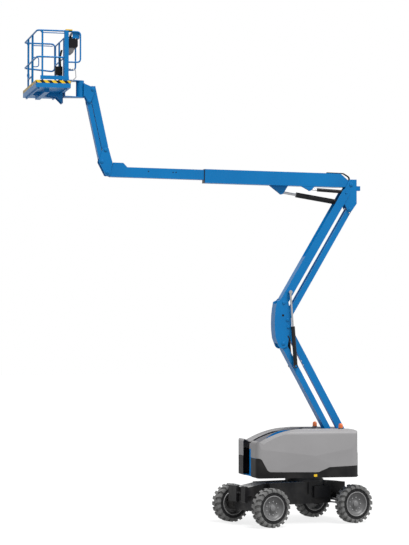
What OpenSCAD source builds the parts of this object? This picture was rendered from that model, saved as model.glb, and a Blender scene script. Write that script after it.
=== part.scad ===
// Articulating boom lift with a battery turntable, a two-stage riser, a telescopic boom and a jib.
// Millimetres. The origin is on the ground under the swing axis. +Z is up.
// The boom plane is XZ: the platform lies towards -X and the counterweight towards +X.
// The chassis stands turned under it, and "left" is the -Y side.

/* [Chassis] */
// Turn of the chassis under the turntable at rest, degrees
chassis_turn = 17.2; // [0:0.1:30]
// Distance of the swing axis behind the middle of the wheelbase
swing_offset = 300; // [200:10:400]
// Distance between the axles
wheelbase = 2030; // [1950:10:2150]
// Half-width of the chassis box
frame_half = 330; // [300:5:350]
// Height of the chassis deck
frame_top = 850; // [830:5:870]
// Height of the underside of the chassis box
frame_bottom = 400; // [380:5:430]
// Plate thickness of the chassis
frame_wall = 20; // [12:1:25]

/* [Wheels] */
// Outer radius over the lugs
tyre_r = 396; // [380:1:410]
// Width of a tyre
tyre_w = 250; // [220:5:270]
// Height of a lug
lug_h = 24; // [15:1:30]
// Lugs round each half of a tread
lug_count = 20; // [16:1:24]
// Radius of the rim lip
rim_r = 284; // [270:1:295]
// Distance between the tyre centres of one axle
track = 1540; // [1500:5:1560]
// Distance of each kingpin from the middle of the chassis
kingpin_y = 590; // [570:5:600]

/* [Turntable] */
// Height of the underside of the turntable deck
deck_z = 946; // [940:1:960]
// Thickness of the turntable deck
deck_t = 24; // [16:1:30]
// Half-width of the central frame that the riser folds into
well_half = 254; // [250:1:270]
// Outer half-width over the cowls
cowl_half = 790; // [760:5:820]
// Inner half-width of the cowls
cowl_inner = 305; // [300:1:330]
// Front end of the cowls
cowl_front = -1235; // [-1260:5:-1200]
// Rear end of the cowls
cowl_rear = 950; // [930:5:970]
// Underside of the cowls
cowl_bottom = 962; // [955:1:975]
// Height of the cowl crown
cowl_top = 1945; // [1900:5:1980]
// Wall of the moulded cowls
cowl_wall = 7; // [5:0.5:9]
// Gap along the parting line between cover and skirt
cowl_gap = 6; // [5:0.5:10]

/* [Riser] */
// Lower riser pivot: distance behind the swing axis
riser_x = 904; // [880:2:920]
// Lower riser pivot: height
riser_z = 1150; // [1140:2:1180]
// Length of the lower arms between pivots
lower_len = 2910; // [2850:5:2950]
// Lean of the lower arms from vertical at rest, degrees
lower_lean = 28.6; // [20:0.1:40]
// Length of the upper arms between pivots
upper_len = 2689; // [2650:5:2750]
// Lean of the upper arms from vertical at rest, degrees
upper_lean = 30.5; // [20:0.1:40]
// Depth of the main lower arm
lower_depth = 118; // [100:1:130]
// Depth of the lower link arm
lower_link_depth = 146; // [120:1:150]
// Depth of the main upper arm
upper_depth = 172; // [150:1:180]
// Depth of the upper link arms
upper_link_depth = 112; // [90:1:120]
// Half-width of both main arms
arm_half = 132; // [128:1:134]
// Half-width of the lower link arm
link_half = 55; // [45:1:56]
// Wall of the arm sections
arm_wall = 8; // [6:0.5:9]
// Half-width over the elbow plates
elbow_half = 152; // [150:1:156]
// Thickness of the elbow plates
elbow_plate = 12; // [8:0.5:12]
// Bore radius of the riser cylinders' barrels
riser_barrel_r = 41; // [36:1:44]

/* [Boom] */
// Rise of the boom above horizontal at rest, degrees
boom_rise = 0.75; // [0:0.05:2]
// Length of the boom tube in front of its pivot
boom_len = 3150; // [3100:5:3200]
// Depth of the boom tube
boom_depth = 285; // [280:1:290]
// Half-width of the boom tube
boom_half = 98; // [94:1:99]
// Wall of the boom tube
boom_wall = 8; // [5:0.5:9]
// Depth of the sliding tube
ext_depth = 206; // [200:1:210]
// Half-width of the sliding tube
ext_half = 80; // [76:1:82]
// Length of the sliding tube that shows at rest
ext_shown = 1640; // [1600:5:1700]
// Length of the sliding tube held inside the boom at rest
ext_held = 1850; // [1800:5:1900]
// Radius of the lift cylinder's barrel
lift_barrel_r = 54; // [48:1:56]
// Radius of the level cylinder's barrel
level_barrel_r = 36; // [32:1:38]

/* [Jib] */
// Length of the jib arms between pivots
jib_len = 1259; // [1220:1:1300]
// Lean of the jib from vertical at rest, degrees
jib_lean = 12.4; // [8:0.1:20]
// Depth of the jib arm
jib_depth = 140; // [120:1:142]
// Depth of the jib link
jib_link_depth = 90; // [80:1:92]
// Half-width of the jib arm
jib_half = 60; // [50:1:62]
// Half-width of the jib link
jib_link_half = 80; // [76:1:81]

/* [Platform] */
// Length of the platform across the boom
platform_len = 1830; // [1700:10:1900]
// Depth of the platform along the boom
platform_depth = 700; // [660:10:760]
// Depth of the platform floor below the jib's upper pivot
floor_drop = 55; // [40:5:70]
// Height of the guard rail above the floor
rail_h = 1100; // [1050:10:1150]
// Radius of the rail tubes
rail_r = 17; // [14:0.5:19]
// Height of the toe board above the floor
toe_h = 105; // [90:5:150]
// Gap between the rotator's axis and the platform
platform_gap = 340; // [330:5:380]

/* [Hidden] */

// Running clearance at pins and sliding faces
fit = 0.3;
// Clearance between parts that move past each other
gap = 6;
eps = 0.01;

// Unit vector in the boom plane, a degrees from +X towards +Z
function dir(a) = [cos(a), sin(a)];
// Points of a round stretch about c, from angle a0 to a1
function arc(c, r, a0, a1, n = 8) = [for (i = [0:n]) c + r * dir(a0 + (a1 - a0) * i / n)];
// Outline of a bar with round ends of radii ra and rb
function bar(a, b, ra, rb) =
    let (t = atan2(b[1] - a[1], b[0] - a[0]))
    concat(arc(a, ra, t + 90, t + 270), arc(b, rb, t - 90, t + 90));
// Outline of a straight bar of depth d between two points
function strip(a, b, d) =
    let (n = d / 2 * dir(atan2(b[1] - a[1], b[0] - a[0]) + 90))
    [a + n, a - n, b - n, b + n];
// Place of a point that is s along and h across from a, in a member that runs at angle t
function along(a, t, s, h = 0) = a + s * dir(t) + h * dir(t - 90);

// Pivots of the riser, boom and jib in the boom plane, as [x, z]
lower_dir = 90 + lower_lean;
upper_dir = 90 - upper_lean;
jib_dir = 90 + jib_lean;
boom_dir = 180 - boom_rise;
lower_link_step = [110, 344];
upper_link_step = [79, -356];
elbow_rise = [14, 848];
arm_foot = [riser_x, riser_z];
link_foot = arm_foot + lower_link_step;
arm_head = arm_foot + lower_len * dir(lower_dir);
link_head = arm_head + lower_link_step;
upper_foot = arm_head + elbow_rise;
upper_link_foot = upper_foot + upper_link_step;
upper_head = upper_foot + upper_len * dir(upper_dir);
upper_link_head = upper_head + upper_link_step;
boom_pivot = upper_head + [111, 165];
lift_foot = upper_head + [-49, -215];
level_foot = upper_head + [-45, 14];
// Distance of the boom's centre line above its pivot, and of the sliding tube above that
boom_up = 83;
ext_up = 26;
boom_mouth = along(boom_pivot, boom_dir, boom_len, boom_up);
ext_end = along(boom_pivot, boom_dir, boom_len + ext_shown, boom_up + ext_up);
lift_eye = along(boom_pivot, boom_dir, 1477, -192);
level_eye = along(boom_pivot, boom_dir, 892, -120);
lift_y = 46;
level_y = -62;
tip_pivot = along(ext_end, boom_dir, 405, -14);
jib_foot = tip_pivot + [-34, 458];
jib_link_foot = tip_pivot + [-115, 218];
jib_head = jib_foot + jib_len * dir(jib_dir);
jib_link_head = jib_link_foot + jib_len * dir(jib_dir);
rotator = jib_head + [-251, 0];
platform_back = rotator[0] - platform_gap;
floor_z = jib_head[1] - floor_drop;
platform_front = platform_back - platform_depth;
riser_cyl_y = 206;
riser_eye_half = 28;
hinge_places = [0, 280, 560];
riser_cyl_foot = along(arm_head, lower_dir + 180, 530, 6);
riser_cyl_eye = along(upper_foot, upper_dir, 249, -2);

// Colours
blue = [0.07, 0.44, 0.74];
grey = [0.58, 0.57, 0.58];
black = [0.08, 0.08, 0.09];
steel = [0.75, 0.75, 0.77];
dark = [0.17, 0.17, 0.18];

// Solid between y0 and y1 with its outline in the boom plane
module slab(y0, y1) {
    translate([0, y1, 0])
        rotate([90, 0, 0])
            linear_extrude(y1 - y0)
                children();
}

// The same slab on both sides of the boom plane
module slabs(y0, y1) {
    slab(y0, y1) children();
    slab(-y1, -y0) children();
}

// Round bar along Y at the plane point p
module pin(p, r, y0, y1) {
    translate([p[0], y0, p[1]])
        rotate([-90, 0, 0])
            cylinder(r = r, h = y1 - y0, $fn = 48);
}

// Both halves of a pair that mirror each other across the boom plane
module both_sides() {
    children();
    mirror([0, 1, 0]) children();
}

// Puts chassis parts, made about the middle of the wheelbase, under the turntable
module on_chassis() {
    rotate([0, 0, chassis_turn])
        translate([-swing_offset, 0, 0])
            children();
}

// Round bar along Y of a chassis part
module cross_bar(x, z, r, y0, y1) {
    translate([x, y0, z])
        rotate([-90, 0, 0])
            cylinder(r = r, h = y1 - y0, $fn = 48);
}

axle_x = wheelbase / 2;
hub_y = track / 2;
disc_t = 14;
disc_y = hub_y + 22;
axle_beam_half = 480;
bearing_z = frame_top + 42;

// Welded chassis box with a tapered nose over the drive axle and a narrow tail over the steer axle
module chassis_frame() {
    nose = [[nose_end, 600], [nose_end, 770], [-760, frame_top], [-700, frame_top], [-700, 600]];
    tail = [[700, 600], [700, frame_top], [tail_end, frame_top - 40], [tail_end, 600]];
    color(dark)
        on_chassis() {
            difference() {
                translate([-760, -frame_half, frame_bottom])
                    cube([1500, 2 * frame_half, frame_top - frame_bottom]);
                translate([-760 + frame_wall, -frame_half + frame_wall, frame_bottom - eps])
                    cube([1500 - 2 * frame_wall, 2 * (frame_half - frame_wall),
                          frame_top - frame_bottom - frame_wall]);
            }
            difference() {
                union() {
                    slab(-220, 220) polygon(nose);
                    slab(-200, 200) polygon(tail);
                }
                slab(-220 + frame_wall, 220 - frame_wall)
                    polygon([[-1220, 590], [-1220, 750], [-780, frame_top - 25], [-780, 500]]);
                slab(-200 + frame_wall, 200 - frame_wall)
                    polygon([[760, 540], [760, frame_top - 25], [1170, frame_top - 62], [1170, 600]]);
                translate([-690, -300, 500]) cube([1420, 600, 400]);
            }
            translate([swing_offset, 0, frame_top - eps])
                difference() {
                    cylinder(r = 400, h = bearing_z - frame_top + eps, $fn = 96);
                    translate([0, 0, -1]) cylinder(r = 300, h = 60, $fn = 96);
                }
        }
}

// Deep beam between the drive wheels with a motor and hub at each end
module drive_axle() {
    color(dark)
        on_chassis() {
            translate([-axle_x - 110, -axle_beam_half, 290])
                cube([220, 2 * axle_beam_half, 310 - fit]);
            both_sides() {
                cross_bar(-axle_x, tyre_r, 130, axle_beam_half, hub_y - 60);
                cross_bar(-axle_x, tyre_r, 105, hub_y - 60, disc_y - fit);
            }
        }
}

// Steered axle: the beam, the kingpins and the ram that pushes the tie rod
module steer_axle() {
    color(dark)
        on_chassis() {
            translate([axle_x - 75, -axle_beam_half, 430])
                cube([150, 2 * axle_beam_half, 110]);
            translate([axle_x - 60, -200, 540 - eps])
                cube([120, 400, 60 - fit + eps]);
            both_sides() {
                translate([axle_x - 45, axle_beam_half - 1, 500])
                    cube([90, kingpin_y - axle_beam_half + 46, 40]);
                translate([axle_x - 45, axle_beam_half - 1, 292])
                    cube([90, kingpin_y - axle_beam_half + 46, 30]);
                translate([axle_x - 45, axle_beam_half - 30, 292])
                    cube([90, 29, 140]);
                translate([axle_x, kingpin_y, 292])
                    cylinder(r = 18, h = 248, $fn = 48);
            }
            cross_bar(axle_x - 125, 485, 34, -170, 170);
            translate([axle_x - 125, -60, 462]) cube([60, 120, 46]);
        }
}

nose_end = -1240;
tail_end = 1190;
lug_bore_r = 20;
lug_t = 30;
lug_z = 650;

// Flat tie-down lug with an upright hole, welded to the end face at x and pointing away from the middle
module tie_down_lug(x, y) {
    way = sign(x);
    translate([x + way * fit, y, lug_z])
        linear_extrude(lug_t)
            difference() {
                polygon([[0, -35], [0, 35], [way * 50, 35], [way * 70, 15], [way * 70, -15], [way * 50, -35]]);
                translate([way * 36, 0]) circle(r = lug_bore_r, $fn = 48);
            }
}

// Upright guard plates at the nose, tie-down lugs at both ends and a valve cover on each flank
module chassis_brackets() {
    color(black)
        on_chassis() {
            both_sides()
                slab(90, 250)
                    polygon(concat([[nose_end - fit, 800], [nose_end - 60, 800]],
                                   arc([nose_end - 35, 500], 35, 180, 300, 6),
                                   [[nose_end - fit, 480]]));
            for (x = [nose_end, tail_end])
                for (y = [-45, 45])
                    tie_down_lug(x, y);
            both_sides()
                translate([300, frame_half + fit, 520])
                    cube([360, 50, 240]);
        }
}

// Upper race of the swing bearing, bolted under the turntable deck
module swing_bearing() {
    color(steel)
        difference() {
            translate([0, 0, bearing_z + fit]) cylinder(r = 380, h = deck_z - bearing_z - fit, $fn = 96);
            translate([0, 0, bearing_z - 1]) cylinder(r = 310, h = 100, $fn = 96);
        }
}

// Knuckle with its stub axle and steering arm, on the left side
module knuckle_left() {
    arm_y = kingpin_y;
    color(dark) {
        difference() {
            union() {
                translate([axle_x, -kingpin_y, 323]) cylinder(r = 44, h = 176, $fn = 48);
                cross_bar(axle_x, tyre_r, 42, -disc_y + fit, -kingpin_y - 20);
                cross_bar(axle_x, tyre_r, 90, -disc_y + fit, -disc_y + 60);
                translate([axle_x - 165, -arm_y - 25, tyre_r + 30]) cube([150, 50, 30]);
            }
            translate([axle_x, -kingpin_y, 300]) cylinder(r = 18 + fit, h = 250, $fn = 48);
            translate([axle_x - 140, -arm_y, 300]) cylinder(r = 14 + fit, h = 250, $fn = 48);
        }
    }
}

module steer_knuckle_left() {
    on_chassis() knuckle_left();
}

module steer_knuckle_right() {
    on_chassis() mirror([0, 1, 0]) knuckle_left();
}

// Silver rod that joins the two steering arms
module tie_rod() {
    arm_y = kingpin_y;
    color(steel)
        on_chassis() {
            cross_bar(axle_x - 140, tyre_r, 17, -arm_y + 20, arm_y - 20);
            both_sides() {
                cross_bar(axle_x - 140, tyre_r, 26, arm_y - 90, arm_y - 10);
                translate([axle_x - 140, arm_y, tyre_r - 22]) cylinder(r = 27, h = 44, $fn = 48);
                translate([axle_x - 140, arm_y, tyre_r]) cylinder(r = 14, h = 62, $fn = 48);
            }
        }
}

// Outline of one half of the tread: square lugs round the carcass
module lug_ring(turn) {
    step = 360 / lug_count;
    root = tyre_r - lug_h;
    polygon([for (i = [0:lug_count - 1])
             for (c = [[root, 0.02], [tyre_r, 0.09], [tyre_r, 0.5], [root, 0.57]])
             c[0] * dir(turn + (i + c[1]) * step)]);
}

// Tyre about the origin with its axis along Y and its outer face at -Y
module tyre() {
    half = tyre_w / 2;
    side = rim_r + 56;
    color(grey)
        difference() {
            union() {
                slab(-half, 0) lug_ring(0);
                slab(-eps, half) lug_ring(180 / lug_count);
            }
            for (s = [-1, 1])
                rotate([90 * s, 0, 0])
                    rotate_extrude($fn = 96)
                        polygon([[0, half - 26], [side - 22, half - 26], [side, half + 1], [0, half + 1]]);
            rotate([90, 0, 0])
                translate([0, 0, -half - 1])
                    cylinder(r = rim_r - 20 + fit, h = tyre_w + 2, $fn = 96);
        }
}

// Dished wheel with its lips and hub cap, outer face at -Y
module rim() {
    half = tyre_w / 2;
    lip = half - 26 + fit;
    dish = disc_y - hub_y;
    color(grey)
        rotate([90, 0, 0])
            rotate_extrude($fn = 96)
                polygon([[0, dish], [rim_r - 60, dish], [rim_r - 34, dish - 30], [rim_r - 34, -lip - 18],
                         [rim_r, -lip - 18], [rim_r, -lip], [rim_r - 20, -lip], [rim_r - 20, lip],
                         [rim_r, lip], [rim_r, lip + 18], [rim_r - 24, lip + 18],
                         [rim_r - 34, lip - 6], [rim_r - 44, dish + disc_t + 20],
                         [rim_r - 66, dish + disc_t], [95, dish + disc_t], [80, dish + disc_t + 12],
                         [66, dish + disc_t + 12], [60, dish + disc_t + 50], [0, dish + disc_t + 54]]);
}

// Puts a left-hand wheel piece at a corner of the chassis
module at_wheel(x, right) {
    on_chassis()
        mirror([0, right ? 1 : 0, 0])
            translate([x, -hub_y, tyre_r])
                children();
}

module tyre_front_left() { at_wheel(-axle_x, false) tyre(); }
module tyre_front_right() { at_wheel(-axle_x, true) tyre(); }
module tyre_rear_left() { at_wheel(axle_x, false) tyre(); }
module tyre_rear_right() { at_wheel(axle_x, true) tyre(); }
module wheel_front_left() { at_wheel(-axle_x, false) rim(); }
module wheel_front_right() { at_wheel(-axle_x, true) rim(); }
module wheel_rear_left() { at_wheel(axle_x, false) rim(); }
module wheel_rear_right() { at_wheel(axle_x, true) rim(); }

deck_top = deck_z + deck_t;
hinge_z = cowl_top - 40;
hinge_y = cowl_inner + 12;
hinge_r = 8;
riser_cheek = 140;
riser_cheek_t = 18;
foot_pin_r = 30;
deck_rear = link_foot[0] + 78;

// Deck, well sides, riser cheeks with their pins, and the trays that carry the batteries
module turntable_frame() {
    side = concat([[-1110, deck_top - eps], [-1110, 1500]],
                  arc([-300, 1200], 690, 140, 95),
                  [[200, 1895], [640, 1895], [1010, 1560], [1040, deck_top - eps]]);
    cheek = concat([[560, deck_top - eps], [760, 1500]], arc(link_foot, 78, 130, 0),
                   [[link_foot[0] + 78, deck_top - eps]]);
    color(blue) {
        translate([-1110, -well_half - 12, deck_z])
            cube([1110 + deck_rear, 2 * (well_half + 12), deck_t]);
        translate([cowl_front + 60 + fit, -cowl_half + 60 + fit, cowl_bottom])
            cube([cowl_rear - cowl_front - 120 - 2 * fit, 2 * (cowl_half - 60 - fit), 6]);
        slabs(well_half, well_half + 12) polygon(side);
        slabs(riser_cheek, riser_cheek + riser_cheek_t) polygon(cheek);
        for (p = [arm_foot, link_foot])
            pin(p, foot_pin_r, -riser_cheek - riser_cheek_t - 8, riser_cheek + riser_cheek_t + 8);
        both_sides()
            for (x = hinge_places) {
                translate([x, well_half + 11, hinge_z - 40]) cube([60, 20, 42]);
                translate([x - 20, hinge_y, hinge_z])
                    rotate([0, 90, 0])
                        cylinder(r = hinge_r, h = 100, $fn = 48);
                translate([x, well_half + 30, hinge_z - 8])
                    cube([60, hinge_y - well_half - 30, 10]);
            }
    }
}

// Cast counterweight: a slab across the tail, two towers beside the riser and two wings under the cowls
module counterweight() {
    tower = [[440, deck_top + fit], [440, 1420], [560, 1560], [980, 1560], [1030, 1500], [1030, deck_top + fit]];
    wing = [[470, deck_top + fit], [470, 1380], [520, 1430], [880, 1430], [880, deck_top + fit]];
    color(dark) {
        slabs(riser_cheek + riser_cheek_t + fit + 10, well_half - fit) polygon(tower);
        slabs(well_half + 12 + fit, 700) polygon(wing);
        difference() {
            slab(-well_half, well_half)
                polygon([[deck_rear + fit, deck_z], [deck_rear + fit, 1480], [deck_rear + 40, 1480],
                         [deck_rear + 62, 1440], [deck_rear + 62, deck_z]]);
            slab(-90, 90) polygon([[1000, 1300], [1000, 1600], [1300, 1600], [1300, 1300]]);
        }
    }
}

// Battery pack in its tray on one side
module battery(right) {
    color(dark)
        mirror([0, right ? 1 : 0, 0])
            translate([-800, -700, cowl_bottom + 6 + fit])
                cube([1080, 380, 370]);
}

module battery_left() { battery(false); }
module battery_right() { battery(true); }

// Side outline of a cowl: the nose rises in a curve to the crown, and the tail is rounded
module cowl_side(inset) {
    offset(r = -inset)
        polygon(concat(arc([cowl_front + 40, cowl_bottom + 40], 40, 270, 180, 4),
                       [[cowl_front, 1640]],
                       arc([cowl_front + 70, 1650], 70, 180, 115, 4),
                       arc([-40, -80], 2025, 121, 92, 10),
                       [[700, cowl_top - 5]],
                       arc([cowl_rear - 95, cowl_top - 105], 95, 85, 8, 6),
                       [[cowl_rear, 1400]],
                       arc([cowl_rear - 40, cowl_bottom + 40], 40, 360, 270, 4)));
}

// Plan outline of the left cowl, with rounded outer corners
module cowl_plan(inset) {
    outer = -cowl_half;
    inner = -cowl_inner;
    offset(r = -inset)
        polygon(concat([[cowl_rear, inner]],
                       [[cowl_front, inner]],
                       arc([cowl_front + 110, outer + 110], 110, 180, 270, 6),
                       [[0, outer - 15]],
                       arc([cowl_rear - 160, outer + 160], 160, 270, 360, 6)));
}

// End outline of the left cowl: the flank leans in towards a rounded shoulder
module cowl_end(inset) {
    offset(r = -inset)
        polygon(concat([[-cowl_inner, cowl_bottom - 50], [-cowl_inner, cowl_top + 60]],
                       [[-cowl_inner - 250, cowl_top + 60]],
                       [[-cowl_half + 180, cowl_top - 12]],
                       arc([-cowl_half + 130, cowl_top - 120], 100, 75, 170, 6),
                       [[-cowl_half - 16, 1400], [-cowl_half + 6, cowl_bottom - 50]]));
}

// Full body of the left cowl, shrunk by an inset
module cowl_body(inset) {
    intersection() {
        slab(-cowl_half - 60, -cowl_inner + 60) cowl_side(inset);
        translate([0, 0, 900]) linear_extrude(1200) cowl_plan(inset);
        translate([cowl_front - 60, 0, 0])
            rotate([90, 0, 90])
                linear_extrude(cowl_rear - cowl_front + 120)
                    cowl_end(inset);
    }
}

// Parting line between the grey cover and the black skirt, raised by d
function parting(d) =
    concat([[cowl_front - 80, 1363 + d], [cowl_front + 45, 1363 + d]],
           arc([cowl_front + 45, 1283], 80 + d, 80, 20, 4),
           arc([cowl_front + 310, 1195], 110 - d, 205, 270, 5),
           [[-900, 1083 + d], [40, 1070 + d]],
           arc([60, 1180], 110 - d, 280, 310, 3),
           arc([330, 1060], 110 + d, 130, 95, 4),
           [[cowl_rear + 80, 1200 + d]]);

// Moulded shell of the left cowl, open underneath and towards the well
module cowl_shell() {
    difference() {
        cowl_body(0);
        cowl_body(cowl_wall);
        translate([cowl_front + 60, -cowl_half + 60, cowl_bottom - 20])
            cube([cowl_rear - cowl_front - 120, cowl_half - cowl_inner + 60 - 120, 60]);
        translate([cowl_front - 60, -cowl_inner - 2 * cowl_wall, cowl_bottom - 20])
            cube([cowl_rear - cowl_front + 120, 60, cowl_top - cowl_bottom - 60]);
    }
}

// Grey cover: the cowl above the parting line, hung from three hinge eyes
module cover() {
    color(grey) {
        difference() {
            union() {
                intersection() {
                    cowl_shell();
                    slab(-cowl_half - 60, -cowl_inner + 60)
                        polygon(concat(parting(cowl_gap), [[cowl_rear + 80, 2100], [cowl_front - 80, 2100]]));
                }
                for (x = hinge_places)
                    translate([x + 62, -hinge_y - 16, hinge_z - 16]) cube([30, 32, 32]);
            }
            for (x = hinge_places) {
                translate([x - 40, -hinge_y, hinge_z])
                    rotate([0, 90, 0])
                        cylinder(r = hinge_r + fit, h = 160, $fn = 48);
                translate([x - 26, -hinge_y - 5, hinge_z - 60])
                    cube([87, 30, 60 + 40 - cowl_wall - 2]);
            }
        }
    }
}

module cover_left() { cover(); }
module cover_right() { mirror([0, 1, 0]) cover(); }

// Black skirt: the cowl below the parting line
module skirt() {
    color(black)
        intersection() {
            cowl_shell();
            slab(-cowl_half - 60, -cowl_inner + 60)
                polygon(concat(parting(0), [[cowl_rear + 80, 900], [cowl_front - 80, 900]]));
        }
}

module skirt_left() { skirt(); }
module skirt_right() { mirror([0, 1, 0]) skirt(); }

// Height of the cowl crown at x, over its flat stretch
function crown(x) = cowl_top - 5 - (x - 700) * 0.0047;

// Amber beacon on top of a cover
module beacon(x, y) {
    color([0.78, 0.36, 0.16])
        translate([x, y, crown(x) + 0.4])
            rotate_extrude($fn = 48)
                polygon([[0, 0], [44, 0], [44, 14], [38, 14], [34, 74], [24, 84], [0, 84]]);
}

module beacon_left() { beacon(640, -500); }
module beacon_right() { beacon(380, 500); }

// Hollow arm: a closed section from s0 to s1 between its end bosses
module arm_box(a, b, depth, half, wall, s0, s1) {
    t = atan2(b[1] - a[1], b[0] - a[0]);
    difference() {
        slab(-half, half) polygon(strip(along(a, t, s0), along(a, t, s1), depth));
        slab(-half + wall, half - wall)
            polygon(strip(along(a, t, s0 + wall), along(a, t, s1 - wall), depth - 2 * wall));
    }
}

lower_pin_r = 26;

// Main lower arm with a round boss at each end and the feet of the riser cylinders
module lower_arm() {
    color(blue)
        difference() {
            union() {
                arm_box(arm_foot, arm_head, lower_depth, arm_half, arm_wall, 40, lower_len - 40);
                pin(arm_foot, lower_depth / 2, -arm_half, arm_half);
                pin(arm_head, lower_depth / 2 + 14, -arm_half, arm_half);
                pin(riser_cyl_foot, 24, -riser_cyl_y - 30, riser_cyl_y + 30);
                pin(riser_cyl_foot, 44, -elbow_half - gap, -arm_half + eps);
                pin(riser_cyl_foot, 44, arm_half - eps, elbow_half + gap);
            }
            pin(arm_foot, foot_pin_r + fit, -arm_half - 1, arm_half + 1);
            pin(arm_head, lower_pin_r + fit, -arm_half - 1, arm_half + 1);
        }
}

// Lower link arm, which keeps the elbow upright
module lower_link() {
    color(blue)
        difference() {
            union() {
                arm_box(link_foot, link_head, lower_link_depth, link_half, arm_wall, 110, lower_len - 130);
                slab(-link_half + 1, link_half - 1)
                    polygon(bar(link_foot, along(link_foot, lower_dir, 100), 68, 64));
                slab(-link_half + 1, link_half - 1)
                    polygon(bar(link_head, along(link_head, lower_dir, -120), 60, 62));
            }
            pin(link_foot, foot_pin_r + fit, -link_half - 1, link_half + 1);
            pin(link_head, lower_pin_r + fit, -link_half - 1, link_half + 1);
        }
}

// Curved elbow plates with a wrapper round the outside and the four pins
module elbow() {
    left = arm_head[0] - 150;
    outline = concat([arm_head + [90, -60], arm_head + [-20, -110]],
                     arc(arm_head, 112, 255, 200, 4),
                     [[left - 14, 3820], [left - 32, 3980], [left - 36, 4120], [left - 30, 4290],
                      [left - 14, 4430], [left + 10, 4570]],
                     arc(upper_foot, 100, 150, 40, 5),
                     [upper_foot + [100, 0], upper_link_foot + [70, 60], upper_link_foot + [80, -60],
                      link_head + [64, 0], arm_head + [110, 60]]);
    inside = [for (p = outline) [p[0] + 10, p[1]]];
    color(blue) {
        slabs(elbow_half - elbow_plate, elbow_half) polygon(outline);
        difference() {
            slab(-elbow_half + elbow_plate - eps, elbow_half - elbow_plate + eps) polygon(outline);
            slab(-elbow_half, elbow_half) polygon(inside);
            translate([-2000, -500, upper_foot[1] - 20]) cube([3000, 1000, 1000]);
            translate([-2000, -500, arm_head[1] - 1000]) cube([3000, 1000, 1000]);
        }
    }
    color(steel)
        for (p = [arm_head, link_head, upper_link_foot, upper_foot])
            pin(p, lower_pin_r, -elbow_half - 6, elbow_half + 6);
}

fork_len = 1620;

// Main upper arm: a closed section below and two cheeks above that straddle the top knuckle
module upper_arm() {
    head_r = 82;
    knee = along(upper_foot, upper_dir, upper_len - fork_len);
    color(blue)
        difference() {
            union() {
                arm_box(upper_foot, upper_head, upper_depth, arm_half, arm_wall, 40, upper_len - fork_len);
                slabs(arm_half - arm_wall, arm_half)
                    polygon(strip(knee, along(upper_head, upper_dir, -20), upper_depth));
                slabs(arm_half - arm_wall, arm_half)
                    polygon(bar(along(upper_head, upper_dir, -30), upper_head, upper_depth / 2, head_r));
                pin(upper_foot, upper_depth / 2, -arm_half, arm_half);
                both_sides()
                    pin(riser_cyl_eye, 36, arm_half - eps, riser_cyl_y - riser_eye_half - fit);
            }
            pin(upper_foot, lower_pin_r + fit, -arm_half - 1, arm_half + 1);
            pin(upper_head, lower_pin_r + fit, -arm_half - 1, arm_half + 1);
        }
}

bars_in = 62;
bars_out = 98;

// Upper link: two bars that pass either side of the lift cylinder
module upper_link() {
    color(blue)
        difference() {
            slabs(bars_in, bars_out)
                union() {
                    polygon(bar(upper_link_foot, upper_link_head, 58, 56));
                    polygon(strip(along(upper_link_foot, upper_dir, 40),
                                  along(upper_link_head, upper_dir, -40), upper_link_depth));
                }
            pin(upper_link_foot, lower_pin_r + fit, -bars_out - 1, bars_out + 1);
            pin(upper_link_head, lower_pin_r + fit, -bars_out - 1, bars_out + 1);
        }
}

knuckle_in = 106;
knuckle_out = 118;

// Top knuckle: two plates that carry the upper arms, the boom and the feet of its cylinders
module top_knuckle() {
    right = boom_pivot[0] + 122;
    outline = concat([[right, boom_pivot[1] + 108], [boom_pivot[0] - 30, boom_pivot[1] + 108]],
                     arc(upper_head, 76, 110, 180, 4),
                     [level_foot + [-40, -30], lift_foot + [-48, 0]],
                     arc(lift_foot, 48, 200, 300, 4),
                     arc(upper_link_head, 56, 230, 330, 4),
                     [[right, boom_pivot[1] - 399]]);
    color(blue) {
        slabs(knuckle_in, knuckle_out) polygon(outline);
        slab(-knuckle_in - eps, knuckle_in + eps)
            polygon([[right - 12, boom_pivot[1] - 380], [right, boom_pivot[1] - 380],
                     [right, boom_pivot[1] + 20], [right - 12, boom_pivot[1] + 20]]);
        slab(-50, 50)
            polygon([[right - eps, boom_pivot[1] - 120], [right + 100, boom_pivot[1] - 120],
                     [right + 100, boom_pivot[1] - 25], [right - eps, boom_pivot[1] - 25]]);
    }
    color(steel) {
        pin(boom_pivot, 30, -knuckle_out - 8, knuckle_out + 8);
        both_sides() pin(upper_head, lower_pin_r, -arm_half - 10, -knuckle_in + 2);
        pin(upper_link_head, lower_pin_r, -knuckle_out - 3, knuckle_out + 3);
        pin(lift_foot, 24, -knuckle_out - 3, knuckle_out + 3);
        pin(level_foot, 18, -knuckle_out - 3, level_y + 38);
    }
}

// Barrel of a ram from its foot eye towards the rod, with its gland
module ram_barrel(foot, eye, r, len, eye_r, pin_r, half) {
    t = atan2(eye[1] - foot[1], eye[0] - foot[0]);
    rod_r = r * 0.5;
    difference() {
        union() {
            translate([foot[0], 0, foot[1]])
                rotate([0, 90 - t, 0])
                    cylinder(r = r, h = len, $fn = 48);
            pin(foot, eye_r, -half, half);
        }
        translate([foot[0], 0, foot[1]])
            rotate([0, 90 - t, 0])
                translate([0, 0, eye_r + 20])
                    cylinder(r = rod_r + fit, h = len, $fn = 48);
        pin(foot, pin_r + fit, -half - r, half + r);
    }
}

// Rod of a ram: it reaches into the barrel and ends in an eye
module ram_rod(foot, eye, r, inside, eye_r, half) {
    t = atan2(eye[1] - foot[1], eye[0] - foot[0]);
    rod_r = r * 0.5;
    reach = norm(eye - foot);
    translate([foot[0], 0, foot[1]])
        rotate([0, 90 - t, 0])
            translate([0, 0, inside])
                cylinder(r = rod_r, h = reach - inside, $fn = 48);
    pin(eye, eye_r, -half, half);
}

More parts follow.
